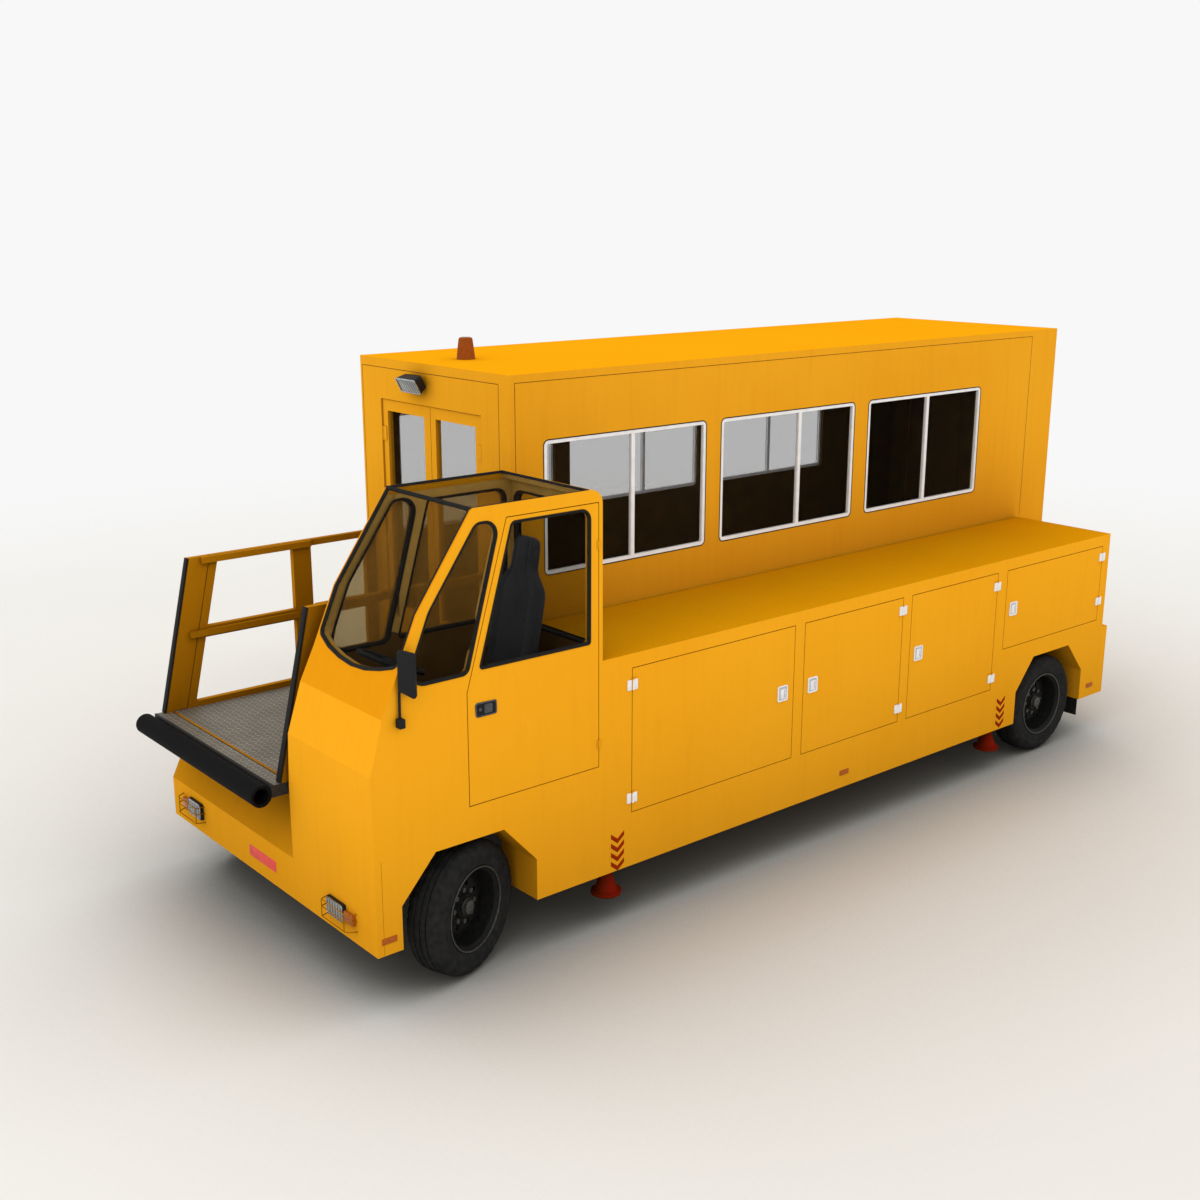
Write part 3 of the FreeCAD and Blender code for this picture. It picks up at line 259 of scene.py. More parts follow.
# %% Rubber, plastic, cloth, glass
TYRE_RUBBER = satin("dusty_tyre_rubber", "#1C1C1D", "#2C2C2B", 0.85, 40.0, 0.8)
SEAL_RUBBER = satin("black_seal_rubber", "#1A1A19", "#252523", 0.6, 20.0, 0.2)
ROLL_RUBBER = satin("soft_roll_rubber", "#0B0B0C", "#131314", 0.8, 25.0, 0.5)
BLACK_PLASTIC = satin("grained_black_plastic", "#1D1E20", "#292A2C", 0.55, 6.0, 0.15)
AMBER_DARK = satin("amber_marker_plastic", "#B4601F", "#9A4F1B", 0.4, 15.0, 0.1)


def bands(width_mm):
    """Wave texture scale for bands this wide; at scale 1 a band is 0.16 m wide."""
    return 1000 / (width_mm * 6.3)


def cloth(name, low, high, thread_mm):
    """Plain weave: two crossed waves, with a sheen of loose fibre ends."""
    fuzz = {"Roughness": 0.9, "Sheen Weight": 0.06, "Specular IOR Level": 0.1}
    material, tree, where, shader = new_surface(name, fuzz)
    strands = {"Vector": where, "Scale": bands(thread_mm), "Distortion": 0.6, "Detail": 1.0}
    warp, weft = [add(tree, "ShaderNodeTexWave", strands, bands_direction=axis).outputs["Fac"]
                  for axis in "YZ"]
    weave = maths(tree, "MULTIPLY", warp, weft)
    worn = maths(tree, "ADD", weave, noise(tree, where, 140.0, 4.0))
    feed(tree, shader, blend(tree, ramp(tree, worn, 0.3, 1.3), low, high))
    bump(tree, shader, weave, 0.6, 0.5)
    return material


# real thread is about 1 mm: drawn at 4 mm so that it shows
SEAT_CLOTH = cloth("charcoal_seat_weave", "#232427", "#35373B", 4.0)


def glazing(name, tint, view, share):
    """Tinted pane: a share is its own colour, the rest is the view behind, times view."""
    material, tree, where, shader = new_surface(name, {"IOR": 1.52, "Specular IOR Level": 0.15})
    film = noise(tree, where, 400.0, 4.0)
    # what a cloth leaves on glass is a trace bluer than the pane
    wiped = tint[:5] + "%02X" % min(255, int(tint[5:], 16) + 6)
    feed(tree, shader, blend(tree, film, tint, wiped), ramp(tree, film, 0.3, 0.8, 0.04, 0.12))
    through = add(tree, "ShaderNodeBsdfTransparent", {"Color": linear(view)}).outputs[0]
    pane = mixed(tree, share, through, shader.outputs[0])
    # light on its way to what is behind the pane isn't held back: the inside isn't black
    clear = add(tree, "ShaderNodeBsdfTransparent").outputs[0]
    rays = add(tree, "ShaderNodeLightPath")
    for kind in ("Is Shadow Ray", "Is Diffuse Ray"):
        pane = mixed(tree, rays.outputs[kind], pane, clear)
    reroute(tree, pane)
    material.surface_render_method = "BLENDED"
    return material


CAB_GLASS = glazing("brown_tinted_glass", "#2A1F10", "#E9EAE9", 0.02)
# painted refraction: the right-hand cab panes carry an ochre colour of their own, for the orange cabin wall
# seen bent through them
PAINTED_REFRACTION_GLASS = glazing("ochre_glass_painted_refraction", "#F6B650", "#D1CAB4", 0.14)
CABIN_GLASS = glazing("grey_tinted_glass", "#1E1E1E", "#EEEEEE", 0.03)
LEAF_GLASS = glazing("pale_grey_door_glass", "#1E1E1E", "#ECECEC", 0.02)


def lens(name, colour, flute_highlight, rib_mm, coat):
    """Moulded lens: close upright ribs under a clear gloss, each rib's crest a lighter colour, a painted
    highlight.
    """
    gloss = {"Roughness": 0.12, "Specular IOR Level": 0.2, "Coat Weight": coat, "Coat Roughness": 0.05}
    material, tree, where, shader = new_surface(name, gloss)
    ribs = add(tree, "ShaderNodeTexWave", {"Vector": where, "Scale": bands(rib_mm), "Distortion": 0.3},
               bands_direction="Y").outputs["Fac"]
    feed(tree, shader, blend(tree, ribs, colour, flute_highlight))
    bump(tree, shader, ribs, 0.5, 0.6)
    return material


AMBER_LENS = lens("moulded_amber_lens", "#9A4A12", "#C06A1E", 9.0, 0.15)
AMBER_DOME = satin("dark_amber_dome", "#8F4809", "#A0520F", 0.3, 18.0, 0.1)
CHROME = satin("dulled_bright_trim", "#B9BCBE", "#8E9193", 0.22, 25.0, 0.1, metallic=0.9)
HANDLE_GREY = satin("grey_handle_casting", "#54565A", "#3E4043", 0.5, 12.0, 0.15)
LATCH_SHADE = satin("shaded_latch_tray", "#C9CCD2", "#B4B8C0", 0.55, 30.0, 0.1)
PLATE_RED = satin("blank_red_plate", "#EC5A52", "#DC524B", 0.4, 60.0, 0.05)
SEALER = satin("brown_seam_sealer", "#8A5A10", "#6E470C", 0.7, 20.0, 0.1)
CLEAR_LENS = lens("fluted_clear_lens", "#565B5A", "#9BA1A0", 14.0, 0.25)
print("materials:", len(bpy.data.materials))

# %% [markdown]
# ## Tread plate
# The platform is steel tread plate: rolled lozenges in a criss-cross, walked bare on top
# and dirty between. The plate is a material; the lozenges are real geometry, laid out
# further down.


# %% Tread plate and its walked tops
def plate_steel(name, low, high, rough):
    """Bare steel: grime in broad patches, bright scuffs in small ones."""
    material, tree, where, shader = new_surface(name, {"Metallic": 0.25})
    grime = noise(tree, where, 160.0, 5.0)
    scuff = noise(tree, where, 9.0, 4.0)
    tone = blend(tree, ramp(tree, grime, 0.3, 0.75), low, high)
    colour = blend(tree, ramp(tree, scuff, 0.45, 0.8, 0.0, 0.5), tone, "#9C978A")
    feed(tree, shader, colour, ramp(tree, scuff, 0.3, 0.8, rough, rough + 0.2))
    bump(tree, shader, scuff, 0.3, 0.5)
    return material


TREAD_PLATE = plate_steel("rolled_tread_plate", "#5E594E", "#736D60", 0.5)
TREAD_TOPS = plate_steel("walked_lozenge_tops", "#8B8577", "#A19B8D", 0.38)
EDGE_STEEL = satin("dark_edge_channel", "#2C2C2B", "#3A3936", 0.55, 30.0, 0.3)

# %% [markdown]
# ## Finishes of the CAD nodes
# A real body is sprayed outside and lined or trimmed inside, so each CAD node first gets
# one finish; then the faces that lie inside a named box or look a certain way get another.
# Some of these are darker or brighter copies of the enamel: painted shade and painted light.

# %% One finish a node
CORNERS = ("front_left", "front_right", "rear_left", "rear_right")
CABIN_SHEETS = ("cabin_walls", "cabin_roof", "front_leaf_left", "front_leaf_right", "rear_leaf_left",
                "rear_leaf_right")
FINISH = {
    ORANGE_ENAMEL: ("front_cowl", "right_skirt", "rear_bumper", "locker_skin", "locker_frame", "cab_shell",
                    "cab_door", "arch_liners", *("locker_door_%d" % number for number in (1, 2, 3, 4))),
    CABIN_ENAMEL: CABIN_SHEETS,
    SHADED_RAIL_ENAMEL: ("platform_rails", "bridge_rails"),
    JACK_ENAMEL: ["jack_" + corner for corner in CORNERS],
    WHITE_POWDER: ("window_frames",),
    CHASSIS_BLACK: ("chassis_frame", "lift_foot", "jack_tubes", "skirt_hangers", "axles", "engine_block",
                    "scissor_inner_arms", "scissor_outer_arms", "knuckle_left", "knuckle_right"),
    WHEEL_GREY: [corner.replace("_", "_rim_") for corner in CORNERS],
    TYRE_RUBBER: ("mudflaps",),
    ROLL_RUBBER: ("bumper_roll",),
    BLACK_PLASTIC: ("dashboard", "steering_wheel", "seat_base"),
    CAB_GLASS: ("cab_glass", "cab_door_glass"),
    CABIN_GLASS: ("cabin_glass",),
    LEAF_GLASS: ("leaf_glass_left", "leaf_glass_right"),
    TREAD_PLATE: ("cabin_floor", "bridge_deck"),
}
for material, names in FINISH.items():
    for name in names:
        mesh = NODES[name].data
        mesh.materials.clear()
        mesh.materials.append(material)
print("finished nodes:", sum(len(names) for names in FINISH.values()))


# %% Inner faces, painted refraction on glass, painted shade and light on panels
def repaint(node, material, test):
    """Refinish the faces of a CAD node that pass test(centre in mm, normal)."""
    mesh = NODES[node].data
    mesh.materials.append(material)
    chosen = [face for face in mesh.polygons if test(face.center * 1000, face.normal)]
    for face in chosen:
        face.material_index = len(mesh.materials) - 1
    return len(chosen)


# shared sizes of the CAD model, in mm
SIDE_Y, BUMPER_X, CAB_REAR_X, CAB_ROOF_Z = 1212, 3425, 1915, 2605
BEND_Z = 2111    # where the windscreen's two facets meet
BELT_Z, DECK_Z, CAB_WALL = 1790, 1018, 40
CABIN_SIDE_Y, CABIN_FRONT_X = 345, 1893.5
CAB_SIDE = ((BUMPER_X, 1320), (3345, 1608), (3123, BEND_Z), (2775, CAB_ROOF_Z))
CABIN_INSIDE = ((-3600, 1852), (-1262, 308), (1000, 3100))
CABIN_WINDOWS = ((-2700, 1700), (-1299, 344), (1905, 2740))


def cab_front(z):
    """X of the cab's front at a height, along its leaning facets."""
    for (x0, z0), (x1, z1) in zip(CAB_SIDE, CAB_SIDE[1:]):
        if z0 <= z <= z1:
            return x0 + (x1 - x0) * (z - z0) / (z1 - z0)
    return CAB_SIDE[0][0] if z < CAB_SIDE[0][1] else CAB_SIDE[-1][0]


def right_wall_y(z):
    """Y of the cab's right wall, which leans out below the belt line."""
    return 338 + 62 * min(max((z - 1000) / 800, 0), 1)


def within(point, box):
    return all(low < value < high for value, (low, high) in zip(point, box))


def in_cab(point, normal):
    """Inner faces and window reveals; the round of the roof's rear edge looks up and back."""
    if normal.x < -0.05 and normal.z > 0.05:
        return False
    x_span = (CAB_REAR_X + 15, cab_front(point.z) - 15)
    y_span = (right_wall_y(point.z) + 15, SIDE_Y - 17)
    return within(point, (x_span, y_span, (850, CAB_ROOF_Z - 1)))


REPAINTS = (
    # painted shade: the cab's inside is dark brown below the belt, ochre trim above it
    (LINING_AND_SHADE, in_cab, "cab_shell"),
    (CAB_TRIM, lambda p, n: in_cab(p, n) and p.z > BELT_Z, "cab_shell"),
    (CAB_TRIM, lambda p, n: n.y < -0.9, "cab_door"),
    # painted refraction on the cab's right-hand panes
    (PAINTED_REFRACTION_GLASS, lambda p, n: p.y < 430 and abs(n.y) > 0.9, "cab_glass"),
    # painted shade on the windscreen surround, apron and ledge tops, painted light on the cabin roof
    (SHADED_SURROUND_ENAMEL, lambda p, n: p.z > 1608 and n.x > 0.7 and n.z > 0.35, "cab_shell"),
    (SHADED_APRON_ENAMEL, lambda p, n: p.y < 338 and 0.2 < n.z < 0.9, "front_cowl"),
    (LIT_ROOF_ENAMEL, lambda p, n: n.z > 0.9 and p.z > 3130, "cabin_roof"),
    (SHADED_LEDGE_ENAMEL, lambda p, n: n.z > 0.9 and p.z > 1560, "locker_frame", "locker_skin"),
    (LINING_AND_SHADE, lambda p, n: within(p, CABIN_INSIDE), *CABIN_SHEETS),
    (EDGE_STEEL, lambda p, n: n.z <= 0.9 or p.z <= DECK_Z - 8 or p.x <= 1890, "cabin_floor", "bridge_deck"),
    (LINING_AND_SHADE, lambda p, n: abs(n.y) < 0.5 and within(p, CABIN_WINDOWS), "cabin_walls"),
    (LINING_AND_SHADE, lambda p, n: n.z > 0.9 and p.x < 1890, "cabin_floor"),
)
for material, test, *nodes in REPAINTS:
    for node in nodes:
        print(node, material.name, repaint(node, material, test), "faces")

# %% [markdown]
# ## Building tools
# Small parts are drawn in millimetres and scaled to metres at the end. Five tools cover
# them all: a rounded block, a plate with any outline, a profile swept round an outline
# (seals), a profile turned about an axis (tyres, caps, lenses) and a bar.


# %% Outlines
def inset(points, d):
    """Closed outline moved inward by d; points run counter-clockwise."""
    moved = []
    for i, (x, y) in enumerate(points):
        (ax, ay), (bx, by) = points[i - 1], points[(i + 1) % len(points)]
        one = Vector((y - ay, ax - x)).normalized()
        two = Vector((by - y, x - bx)).normalized()
        mitre = (one + two) / max(1 + one.dot(two), 0.25)
        moved.append((x - mitre.x * d, y - mitre.y * d))
    return moved


def rounded(points, radii, steps=8):
    """Closed outline with its corners rounded, one radius a corner."""
    out = []
    for i, (x, y) in enumerate(points):
        here = Vector((x, y))
        a = (Vector(points[i - 1]) - here).normalized()
        b = (Vector(points[(i + 1) % len(points)]) - here).normalized()
        r = radii[i]
        if r <= 0:
            out.append((x, y))
            continue
        half = a.angle(b) / 2
        middle = here + (a + b).normalized() * r / math.sin(half)
        first, last = here + a * r / math.tan(half), here + b * r / math.tan(half)
        start = math.atan2(*(first - middle).yx)
        turn = math.atan2(*(last - middle).yx) - start
        turn = (turn + math.pi) % (2 * math.pi) - math.pi
        angles = [start + turn * k / steps for k in range(steps + 1)]
        out += [tuple(middle + r * Vector((math.cos(angle), math.sin(angle)))) for angle in angles]
    return out


def oblong(width, height, radius, centre=(0, 0), steps=4):
    """Rectangle with rounded corners."""
    x, y = width / 2, height / 2
    corners = [(centre[0] + sx * x, centre[1] + sy * y) for sx, sy in ((-1, -1), (1, -1), (1, 1), (-1, 1))]
    return rounded(corners, [radius] * 4, steps)


# %% Solids from outlines and profiles
def skin(bm, loops):
    """Quads between one closed loop of vertices and the next."""
    for lower, upper in zip(loops, loops[1:]):
        for i in range(len(lower)):
            j = (i + 1) % len(lower)
            bm.faces.new((lower[i], lower[j], upper[j], upper[i]))


def capped(bm, loops):
    """The same, with a face over each end."""
    skin(bm, loops)
    bm.faces.new(loops[0])
    bm.faces.new(loops[-1])
    return bm


def block(low, high, edge=3.0, steps=2):
    """Box between two corners, its edges rounded."""
    bm = bmesh.new()
    bmesh.ops.create_cube(bm, size=1.0)
    size = [b - a for a, b in zip(low, high)]
    middle = Matrix.Translation([(a + b) / 2 for a, b in zip(low, high)])
    bmesh.ops.transform(bm, matrix=middle @ Matrix.Diagonal((*size, 1.0)), verts=bm.verts)
    if edge:
        bmesh.ops.bevel(bm, geom=bm.edges[:], offset=edge, segments=steps, profile=0.5, affect="EDGES")
    return bm


def plate(outline, low, high, place, edge=1.0):
    """Plate with any outline between two heights, its upper rim rounded."""
    bm = bmesh.new()
    levels = ((low, 0.0), (high - edge, 0.0), (high - 0.3 * edge, 0.3 * edge), (high, edge))
    return capped(bm, [[bm.verts.new(place(u, v, h)) for u, v in inset(outline, d)] for h, d in levels])


def hoop(outline, profile, place):
    """Closed profile of (inset, height) pairs swept round an outline."""
    bm = bmesh.new()
    loops = [[bm.verts.new(place(u, v, h)) for u, v in inset(outline, d)] for d, h in profile]
    skin(bm, loops + loops[:1])
    return bm


def turned(profile, steps=48, ripple=lambda step, r: 0.0, closed=False):
    """Profile of (radius, height) pairs turned about Z; ripple(step, radius) shifts the radius."""
    bm = bmesh.new()
    around = [2 * math.pi * i / steps for i in range(steps)]
    loops = [[bm.verts.new(((r + ripple(i, r)) * math.cos(a), (r + ripple(i, r)) * math.sin(a), z))
              for i, a in enumerate(around)] for r, z in profile]
    skin(bm, loops + (loops[:1] if closed else []))
    bmesh.ops.remove_doubles(bm, verts=bm.verts, dist=0.01)
    return bm


# %% Bars
def rod(points, radius, sides=10):
    """Round bar along a path, ends closed."""
    bm = bmesh.new()
    path = [Vector(p) for p in points]
    side = None
    loops = []
    for i, here in enumerate(path):
        ahead = (path[min(i + 1, len(path) - 1)] - path[max(i - 1, 0)]).normalized()
        side = (ahead.orthogonal() if side is None else side - ahead * side.dot(ahead)).normalized()
        up = ahead.cross(side)
        loops.append([bm.verts.new(here + radius * (side * math.cos(a) + up * math.sin(a)))
                      for a in (2 * math.pi * k / sides for k in range(sides))])
    return capped(bm, loops)


def bent(points, radius, steps=5):
    """Path with each inner corner replaced by an arc."""
    out = [Vector(points[0])]
    for before, here, after in zip(points, points[1:], points[2:]):
        here = Vector(here)
        a, b = (Vector(before) - here).normalized(), (Vector(after) - here).normalized()
        for k in range(steps + 1):
            t = k / steps
            out.append(here + a * radius * (1 - t) ** 2 + b * radius * t ** 2)
    return out + [Vector(points[-1])]


# %% From parts to a piece on its body
MM = 0.001


def ride(made, body):
    """Put an object in the scene, on a body."""
    SCENE.collection.objects.link(made)
    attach(made, body)
    print(made.name, len(made.data.polygons), "faces on", body)
    return made


def piece(name, body, slot, *parts, smooth=38):
    """One object from (bmesh, material) or (bmesh, material, matrix) parts, riding a body."""
    whole = bmesh.new()
    materials = []
    for part in parts:
        bm, material = part[:2]
        if material not in materials:
            materials.append(material)
        if len(part) > 2:
            bmesh.ops.transform(bm, matrix=part[2], verts=bm.verts)
        bmesh.ops.recalc_face_normals(bm, faces=bm.faces)
        for face in bm.faces:
            face.material_index = materials.index(material)
        scratch = bpy.data.meshes.new("scratch")
        bm.to_mesh(scratch)
        bm.free()
        whole.from_mesh(scratch)
        bpy.data.meshes.remove(scratch)
    limit = math.radians(smooth)
    for edge in whole.edges:
        edge.smooth = edge.calc_face_angle(0.0) < limit
    for face in whole.faces:
        face.smooth = True
    bmesh.ops.scale(whole, vec=(MM, MM, MM), verts=whole.verts)
    mesh = bpy.data.meshes.new(name)
    whole.to_mesh(mesh)
    whole.free()
    for material in materials:
        mesh.materials.append(material)
    return ride(bpy.data.objects.new(name, mesh), body)


# %% Where a drawing lies
def shift(x, y, z):
    return Matrix.Translation((x, y, z))


def spin(degrees, axis):
    return Matrix.Rotation(math.radians(degrees), 4, axis)


def on_side(u, v, h):
    """Driver's side skin: u forward, v up, h outward."""
    return (u, SIDE_Y + h, v)


def on_front(u, v, h):
    """Front bumper flat: u to the left, v up, h forward."""
    return (BUMPER_X + h, u, v)


def on_right_wall(u, v, h):
    return (u, right_wall_y(v) - h, v)


def on_cab_rear(u, v, h):
    return (CAB_REAR_X - h, u, v)


def across_x(u, v, h):
    """Drawn square to x about the origin, for a matrix to put in place."""
    return (h, u, v)


def on_cab_roof(u, v, h):
    return (u, v, CAB_ROOF_Z + h)


def on_screen(u, v, h):
    """Windscreen facets: u to the left, v up, h square to the glass, mitred at the bend."""
    lower, upper = Vector((0.915, 0.404)), Vector((0.8175, 0.576))
    normal = lower if v < BEND_Z else upper
    if abs(v - BEND_Z) < 1:
        normal = (lower + upper) / (1 + lower.dot(upper))
    return (cab_front(v) + h * normal.x, u, v + h * normal.y)


# %% [markdown]
# ## Wheels
# A truck tyre has a wide tread with three grooves, notched shoulders, and a sidewall with
# a scuff ring and a bead ring. It is a turned profile, pulled in at every fourth step for
# the notches. The rim comes from the CAD model, so only its lip, the hub cap and the nuts
# are added. Nuts repeat on a circle, so Geometry Nodes place them from a count and radii.

# %% Geometry Nodes tools
def new_growth(name, sizes):
    """Geometry Nodes tree with a geometry output and named float or integer inputs."""
    tree = bpy.data.node_groups.new(name, "GeometryNodeTree")
    tree.interface.new_socket("Geometry", in_out="OUTPUT", socket_type="NodeSocketGeometry")
    for label, value in sizes.items():
        kind = "NodeSocketInt" if isinstance(value, int) else "NodeSocketFloat"
        tree.interface.new_socket(label, in_out="INPUT", socket_type=kind).default_value = value
    return tree, add(tree, "NodeGroupInput").outputs


def close_growth(tree, points, shape, material, placing):
    """End of a tree: one shape a point, made real and given its finish."""
    sources = {"Points": points.outputs[0], "Instance": shape.outputs[0]}
    laid = add(tree, "GeometryNodeInstanceOnPoints", {**sources, **placing})
    real = add(tree, "GeometryNodeRealizeInstances", {0: laid.outputs[0]})
    done = add(tree, "GeometryNodeSetMaterial", {"Geometry": real.outputs[0], "Material": material})
    add(tree, "NodeGroupOutput", {0: done.outputs[0]})


def grown(name, body, tree, values, matrix):
    """Plain mesh of a tree, riding a body; its inputs are set before it is evaluated."""
    seed = bpy.data.objects.new("seed", bpy.data.meshes.new("seed"))
    SCENE.collection.objects.link(seed)
    modifier = seed.modifiers.new("growth", "NODES")
    modifier.node_group = tree
    for item in tree.interface.items_tree:
        if item.in_out == "INPUT" and item.name in values:
            modifier[item.identifier] = values[item.name]
    ready = seed.evaluated_get(bpy.context.evaluated_depsgraph_get())
    mesh = bpy.data.meshes.new_from_object(ready)
    bpy.data.objects.remove(seed)
    mesh.transform(matrix)
    ride(bpy.data.objects.new(name, mesh), body)


NUT_SIZES = {"Count": 8, "Ring Radius": 0.092, "Nut Radius": 0.015, "Nut Height": 0.02}
nut_tree, size = new_growth("ring_of_nuts", NUT_SIZES)
circle = add(nut_tree, "GeometryNodeMeshCircle", {"Vertices": size["Count"], "Radius": size["Ring Radius"]})
hexagon = add(nut_tree, "GeometryNodeMeshCylinder",
              {"Vertices": 6, "Radius": size["Nut Radius"], "Depth": size["Nut Height"]})
close_growth(nut_tree, circle, hexagon, HUB_STEEL, {})

# %% Tyres, lips, hub caps and nuts
TYRE_RADIUS, TYRE_MIDDLE = 378, -104.5
OUTER_HALF = [(224, 72.5), (236, 90), (245, 101), (252, 103.5), (262, 103), (276, 110), (292, 111.5),
              (296, 109.5), (300, 112), (322, 112.2), (330, 109.5), (336, 108.5), (352, 101), (357, 98),
              (365, 90), (373, 79), (377, 60), (TYRE_RADIUS, 44), (377.5, 42), (369, 41), (369, 34),
              (377.5, 33), (TYRE_RADIUS, 8), (377.5, 4.5), (369, 3.5)]
TYRE_PROFILE = ([(r, TYRE_MIDDLE + h) for r, h in OUTER_HALF]
                + [(r, TYRE_MIDDLE - h) for r, h in reversed(OUTER_HALF)])
LIP = [(229.5, -6), (231.5, 0.5), (238, 1.2), (240, -2), (236, -6)]
CAP = [(0, -39), (26, -39.5), (36, -41), (42.8, -46), (43.5, -60), (46, -62), (46, -70), (0, -70)]
FLANGE = [(50, -76.6), (60, -76), (61.5, -79), (61.5, -90), (50, -90)]
NUTS_HEIGHT = -88
STEERING_PIN_Y = 900


def shoulder_notch(step, r):
    """Every fourth step the shoulder is cut in, as tread blocks are."""
    return -7.0 if step % 4 == 0 and 352 <= r <= 377.2 else 0.0


def dress_wheel(name, side, axle_x, face_y, lock):
    """Tyre and trim of one wheel; the front ones are parked with lock on."""
    body = "wheel_" + name
    place = shift(axle_x, side * face_y, TYRE_RADIUS) @ spin(-90 * side, "X")
    if lock:
        pin = shift(axle_x, side * STEERING_PIN_Y, 0)
        place = pin @ spin(lock, "Z") @ pin.inverted() @ place
    tyre = piece("tyre_" + name, body, "tyre_rubber",
                 (turned(TYRE_PROFILE, 144, shoulder_notch, closed=True), TYRE_RUBBER, place))
    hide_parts(name.replace("_", "_tyre_"))
    piece("wheel_trim_" + name, body, "silver_rim_paint", (turned(LIP, 96, closed=True), HUB_STEEL, place),
          (turned(CAP, 40), HUB_STEEL, place), (turned(FLANGE, 40, closed=True), WHEEL_GREY, place))
    in_metres = Matrix.Scale(MM, 4) @ place @ shift(0, 0, NUTS_HEIGHT) @ Matrix.Scale(1 / MM, 4)
    grown("wheel_nuts_" + name, body, nut_tree, {"Count": 8}, in_metres)


# x, outer face's y and lock of each axle's wheels
AXLES = {"front": (2869, 1182, 20.3), "rear": (-2558, 1165, 0)}
for name in CORNERS:
    end, hand = name.split("_")
    dress_wheel(name, 1 if hand == "left" else -1, *AXLES[end])

# %% [markdown]
# ## Tread plate lozenges
# Rolled tread plate carries raised lozenges that point left and right in turn. A grid of
# points with one lozenge a point, turned by the parity of its row and column, gives that
# pattern, and stays within the deck's edges.

# %% Lozenges on the deck and on the bridge strip
TREAD_SIZES = {"Length": 1.0, "Width": 1.0, "Rows": 10, "Columns": 10, "Lozenge Length": 0.034,
               "Lozenge Width": 0.009, "Height": 0.0022}
tread, size = new_growth("tread_lozenges", TREAD_SIZES)
spans = {"Size X": size["Length"], "Size Y": size["Width"]}
grid = add(tread, "GeometryNodeMeshGrid",
           {**spans, "Vertices X": size["Rows"], "Vertices Y": size["Columns"]})
index = add(tread, "GeometryNodeInputIndex").outputs[0]
row = maths(tread, "FLOOR", maths(tread, "DIVIDE", index, size["Columns"]))
column = maths(tread, "MODULO", index, size["Columns"])
parity = maths(tread, "MODULO", maths(tread, "ADD", row, column), 2.0)
angle = maths(tread, "MULTIPLY_ADD", parity, math.pi / 2, math.pi / 4)
heading = add(tread, "ShaderNodeCombineXYZ", {"Z": angle}).outputs[0]
lozenge = {"X": size["Lozenge Length"], "Y": size["Lozenge Width"], "Z": size["Height"]}
stretch = add(tread, "ShaderNodeCombineXYZ", lozenge).outputs[0]
bead = add(tread, "GeometryNodeMeshUVSphere", {"Segments": 8, "Rings": 4, "Radius": 0.5})
close_growth(tread, grid, bead, TREAD_TOPS, {"Rotation": heading, "Scale": stretch})
DECK_WIDTH = (-1186, 246)


def lay_lozenges(name, body, x0, x1, rows):
    """Cover the deck's whole width from x0 to x1 with rows of lozenges."""
    y0, y1 = DECK_WIDTH
    spread = {"Length": (x1 - x0) * MM, "Rows": rows, "Width": (y1 - y0) * MM, "Columns": 39}
    middle = shift((x0 + x1) / 2 * MM, (y0 + y1) / 2 * MM, DECK_Z * MM)
    grown(name, body, tread, spread, middle)


lay_lozenges("deck_lozenges", "cabin", 1912, 3380, 40)
lay_lozenges("bridge_lozenges", "bridge", 3425, 3491, 3)

# %% [markdown]
# ## Platform edges
# The leading edges of the guards carry a black rubber strip that meets the aircraft, and
# a yellow line marks the end of the fixed deck.

# %% Rubber edge strips and the yellow line
def lean(z):
    """X of the bridge guards' leading edge."""
    return 3454 - (z - DECK_Z) * 223 / 960


for name, y0, y1 in (("left", 256, 300), ("right", -1241, -1197)):
    strip = plate([(y0, 1020), (y1, 1020), (y1, 1978), (y0, 1978)], -3, 9,
                  lambda u, v, h: (lean(v) + h, u, v + h * 0.23), 3.0)
    piece("guard_edge_rubber_" + name, "bridge", "black_rubber", (strip, SEAL_RUBBER))
# the line takes the rails' darker enamel, which carries painted shade
piece("deck_end_line", "cabin", "yellow_paint",
      (block((3391, -1196, 1017), (3405, 256, 1020.5), 1.0), SHADED_RAIL_ENAMEL))
piece("bridge_nose_channel", "bridge", "black_frame_paint",
      (block((3494, -1238, 950), (3511, 297, 1021), 2.5), EDGE_STEEL))

# %% [markdown]
# ## Window seals
# Every pane of the cab sits in a black rubber profile that laps over the skin and the
# glass. One closed profile swept round the window's outline makes it; the windscreen's
# outline gets two more points where the glass bends.

# %% Seals of the cab's windows
DOOR_WINDOW = rounded([(2007, 1750), (2747, 1756), (2526, 2503), (2004, 2503)], [14, 14, 30, 60])
QUARTER_WINDOW = rounded([(2826, 1743), (3205, 1743), (3050, BEND_Z), (2753, 2525), (2603, 2525)],
                         [45, 80, 200, 62, 70])
SCREEN = rounded([(421, 1868), (540, 1822), (670, 1796), (800, 1785), (930, 1792), (1060, 1818),
                  (1191, 1856), (1191, 2604), (421, 2604)], [45, 0, 0, 0, 0, 0, 45, 14, 14])
REAR_WINDOW = oblong(670, 770, 60, (805, 2105), 8)
ROOF_PANE = oblong(773, 786, 4, (2386.5, 805), 3)


def with_bend(outline, v):
    """Outline with a point added wherever an edge crosses the level v."""
    out = []
    for (u0, v0), (u1, v1) in zip(outline, outline[1:] + outline[:1]):
        out.append((u0, v0))
        if (v0 - v) * (v1 - v) < 0:
            out.append((u0 + (u1 - u0) * (v - v0) / (v1 - v0), v))
    return out


def seal(lap, proud, reach):
    """Outer lip over the skin and, through the gap, over the pane 12 mm below it."""
    return [(-lap, 0.2), (-lap, proud * 0.6), (-lap + 2.5, proud), (reach * 0.3, proud), (reach * 0.8, -2),
            (reach, -8), (reach, -11.9), (0.3, -11.9), (0.3, 0.2)]


def on_right_inside(u, v, h):
    return (u, right_wall_y(v) + CAB_WALL + h, v)


SKIN_SEAL = seal(7, 4.0, 11)
WALL_SEAL = seal(8, 4.0, 11)
